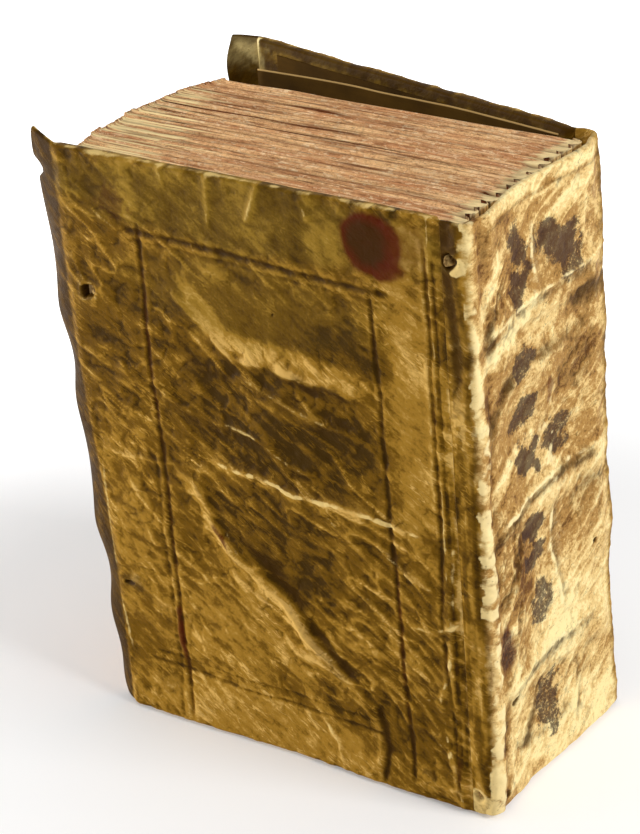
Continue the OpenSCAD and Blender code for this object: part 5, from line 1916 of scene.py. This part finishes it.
@dataclass(frozen=True)
class LayeredBoard:
    """Board pasted up from waste paper: matte grey-brown, with layers at its edges."""

    name: str = "pasted_paper_board"
    grey: str = "#6E5638"
    brown: str = "#947950"
    layer: str = "#503C24"

    def build(self) -> bpy.types.Material:
        """Makes the material.

        Returns:
            The board.
        """
        t = Tree(self.name)
        place = t.place()
        pulp = t.noise(place, 2.2, 5, 0.65)
        layers = t.noise(t.stretched(place, (20.0, 1.0, 20.0)), 0.5, 2, 0.5)
        colour = t.mix(t.ramp(pulp, 0.3, 0.7), self.grey, self.brown)
        colour = t.over(colour, self.layer, t.ramp(layers, 0.4, 0.65), 0.4)
        return t.finished(colour, 0.92, t.bump(pulp, 0.1), 0.04)


@dataclass(frozen=True)
class TawedSkin:
    """Alum-tawed skin: soft white leather for thongs, greyed by dirt and fibrous where it is torn."""

    name: str = "alum_tawed_skin"
    white: str = "#B4935A"
    dirt: str = "#5A4020"
    fibre: str = "#5A4428"

    def build(self) -> bpy.types.Material:
        """Makes the material.

        Returns:
            The thong's finish.
        """
        t = Tree(self.name)
        place = t.place()
        dirt = t.noise(place, 1.6, 4, 0.65)
        fibre = t.noise(t.stretched(place, (1.0, 5.0, 1.0)), 0.4, 3, 0.6)
        colour = t.mix(t.ramp(dirt, 0.35, 0.7), self.white, self.dirt)
        colour = t.over(colour, self.fibre, t.ramp(fibre, 0.5, 0.75), 0.4)
        return t.finished(colour, 0.85, t.bump(fibre, 0.12), 0.04)


# The studio

@dataclass(frozen=True)
class StudioCamera:
    """The camera at the photograph's viewing angle."""

    azimuth: float = 36.80
    elevation: float = 27.04
    roll: float = -4.84
    place: tuple[float, float, float] = (389.36, -530.66, 425.93)
    lens: float = 118.6
    sensor: float = 36.0

    def build(self) -> None:
        """Places the camera: it looks back along its third axis, turned by the roll."""
        az, el, roll = (math.radians(v) for v in (self.azimuth, self.elevation, self.roll))
        back = Vector((math.sin(az) * math.cos(el), -math.cos(az) * math.cos(el), math.sin(el)))
        level = Vector((math.cos(az), math.sin(az), 0))
        rise = back.cross(level)
        right = level * math.cos(roll) + rise * math.sin(roll)
        up = rise * math.cos(roll) - level * math.sin(roll)
        data = bpy.data.cameras.new("camera")
        data.lens = self.lens
        data.sensor_width = self.sensor
        data.clip_start = 0.01
        camera = bpy.data.objects.new("camera", data)
        camera.matrix_world = Matrix((right, up, back)).transposed().to_4x4()
        camera.location = Vector(self.place) * MM
        bpy.context.scene.collection.objects.link(camera)
        bpy.context.scene.camera = camera


@dataclass(frozen=True)
class Studio:
    """A pale floor, soft lamps and an even surrounding light."""

    floor: str = "#F2F2F2"
    lift: float = 0.08
    ambient: float = 0.3
    shade_radius: float = 0.13
    clear_radius: float = 0.34
    half_floor: float = 4.0
    floor_z: float = -0.0004
    aim: tuple[float, float, float] = (0.02, 0.0, 0.08)

    def seen(self, t: bpy.types.NodeTree) -> bpy.types.NodeSocket:
        """1 for rays from the camera, a reflection or through glass, which see the white background.

        Args:
            t: the floor's or the world's node tree.

        Returns:
            1 or 0.
        """
        path = add(t, "LightPath")
        either = add(t, "Math", {0: path.outputs["Is Camera Ray"], 1: path.outputs["Is Glossy Ray"]},
                     operation="MAXIMUM")
        return add(t, "Math", {0: either.outputs[0], 1: path.outputs["Is Transmission Ray"]},
                   operation="MAXIMUM").outputs[0]

    def lamp(self, name: str, place: tuple[float, float, float], size: float, power: float,
             shadow: bool = True) -> None:
        """One square area lamp turned to the book's middle.

        Args:
            name: the lamp's name.
            place: where it stands, in metres.
            size: length of its side, in metres.
            power: watts.
            shadow: whether it casts a shadow.
        """
        data = bpy.data.lights.new(name, "AREA")
        data.energy = power
        data.size = size
        data.use_shadow = shadow
        lamp = bpy.data.objects.new(name, data)
        lamp.location = place
        aim = Vector(self.aim) - Vector(place)
        lamp.rotation_euler = aim.to_track_quat("-Z", "Y").to_euler()
        bpy.context.scene.collection.objects.link(lamp)

    def build(self) -> None:
        """Builds floor, lamps and world."""
        mesh = bpy.data.meshes.new("studio_floor")
        corners = [(a * self.half_floor, b * self.half_floor, self.floor_z)
                   for a, b in ((-1, -1), (1, -1), (1, 1), (-1, 1))]
        mesh.from_pydata(corners, [], [(0, 1, 2, 3)])
        floor = bpy.data.objects.new("studio_floor", mesh)
        bpy.context.scene.collection.objects.link(floor)
        material = bpy.data.materials.new("pale_floor")
        material.use_nodes = True
        t = material.node_tree
        t.nodes.clear()
        matte = add(t, "BsdfDiffuse", {"Color": linear(self.floor)})
        place = add(t, "TexCoord").outputs["Object"]
        away = add(t, "VectorMath", {0: place}, operation="LENGTH").outputs["Value"]
        limits = {0: away, 1: self.shade_radius, 2: self.clear_radius, 3: self.lift, 4: 1.0}
        level = add(t, "MapRange", limits, interpolation_type="SMOOTHSTEP").outputs[0]
        strength = add(t, "Math", {0: self.seen(t), 1: level}, operation="MULTIPLY")
        glow = add(t, "Emission", {"Strength": strength.outputs[0]})
        both = add(t, "AddShader", {0: matte.outputs[0], 1: glow.outputs[0]})
        add(t, "OutputMaterial", {"Surface": both.outputs[0]})
        mesh.materials.append(material)
        world = bpy.data.worlds.new("studio_world")
        world.use_nodes = True
        w = world.node_tree
        w.nodes.clear()
        level = add(w, "MapRange", {0: self.seen(w), 3: self.ambient, 4: 1.0})
        sky = add(w, "Background", {"Color": (1, 1, 1, 1), "Strength": level.outputs[0]})
        add(w, "OutputWorld", {"Surface": sky.outputs[0]})
        bpy.context.scene.world = world
        self.lamp("key_lamp", place=(1.0, 0.0, 0.62), size=0.5, power=9.5)
        self.lamp("raking_lamp", place=(-0.8, -0.48, 0.22), size=0.3, power=8.5, shadow=False)
        self.lamp("top_lamp", place=(0.0, 0.1, 1.3), size=0.7, power=3.0)


def dress_hidden_solids(nodes: dict[str, bpy.types.Object], finishes: dict[str, bpy.types.Material]) -> None:
    """Gives the carried-over solids their finish.

    Args:
        nodes: the model's objects by name.
        finishes: the finish of each kind of solid, by the end of its name.
    """
    for name, solid in nodes.items():
        for ending, finish in finishes.items():
            if name.endswith(ending):
                solid.data.materials.clear()
                solid.data.materials.append(finish)
                log.info("%s: %s", name, finish.name)


def main() -> None:
    """Builds every piece in order and reports it."""
    logging.basicConfig(level=logging.INFO, format="%(name)s: %(message)s")
    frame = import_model()
    scene = bpy.context.scene
    scene.view_settings.view_transform = "Standard"
    StudioCamera().build()
    Studio().build()

    vellum = LimpVellum().build()
    page = StainedPaper("laid_rag_page", "#C9AC7C", "#8C6638").build()
    # The flyleaf and the pastedowns lie in the shaded gap inside the far cover: their dark browns are painted
    # shade over the paper's browning and stains.
    flyleaf_page = StainedPaper("browned_rag_flyleaf_in_painted_shade", "#4A330C", "#2C1C05", 26.0).build()
    pasted = StainedPaper("stained_pastedown_in_painted_shade", "#4C340E", "#261805", 30.0).build()
    tawed = TawedSkin().build()
    dress_hidden_solids(frame["nodes"], {
        "_board": LayeredBoard().build(), "_pastedown": pasted, "_slip": tawed, "_support": tawed,
        "_tie_end": tawed, "_thong": tawed, "_skin": vellum, "text_block": page, "flyleaf": flyleaf_page})

    back_crumple, front_crumple = Crumple(calm=BACK_CALM), Crumple(seed=31.0)
    Cover(Side.BACK, "back_cover", SIZES.back_flap_turn, BACK_MARKS, 228, back_crumple).build(vellum)
    Cover(Side.FRONT, "front_cover", SIZES.front_flap_turn, FRONT_MARKS, 130, front_crumple,
          tip_rise=0.0, notch=0.0, inner_from=1.1, inner_shade=0.9, rim=0.6, rim_pale=0.5).build(vellum)
    SpineSkin().build(vellum)
    Leaves().build(PaperEdges().build(), page)
    Flyleaf().build(flyleaf_page)

    face = SIZES.face_y
    thong_x = SIZES.thong_x
    tie_x = SIZES.joint_x - SIZES.tie_s
    thongs = (
        TornThong("head_thong_end", "head_endband_thong", "book_block", (thong_x, -29.3, 159.5),
                  (thong_x - 0.4, -face - 0.5, 159.2), 1.3, 3),
        TornThong("tail_thong_end", "tail_endband_thong", "book_block", (thong_x, -29.3, 6.0),
                  (thong_x, -face + 0.3, 6.0), 1.2, 4),
        TornThong("upper_tie_stub", "back_upper_tie_end", "back_cover", (tie_x, -face + 2.2, 130.0),
                  (tie_x - 1.6, -face - 0.1, 129.2), 1.4, 5),
        TornThong("lower_tie_stub", "back_lower_tie_end", "back_cover", (tie_x, -face + 2.2, 40.0),
                  (tie_x - 0.4, -face + 0.5, 40.6), 1.2, 6))
    for thong in thongs:
        thong.build(tawed)


if __name__ == "__main__":
    main()
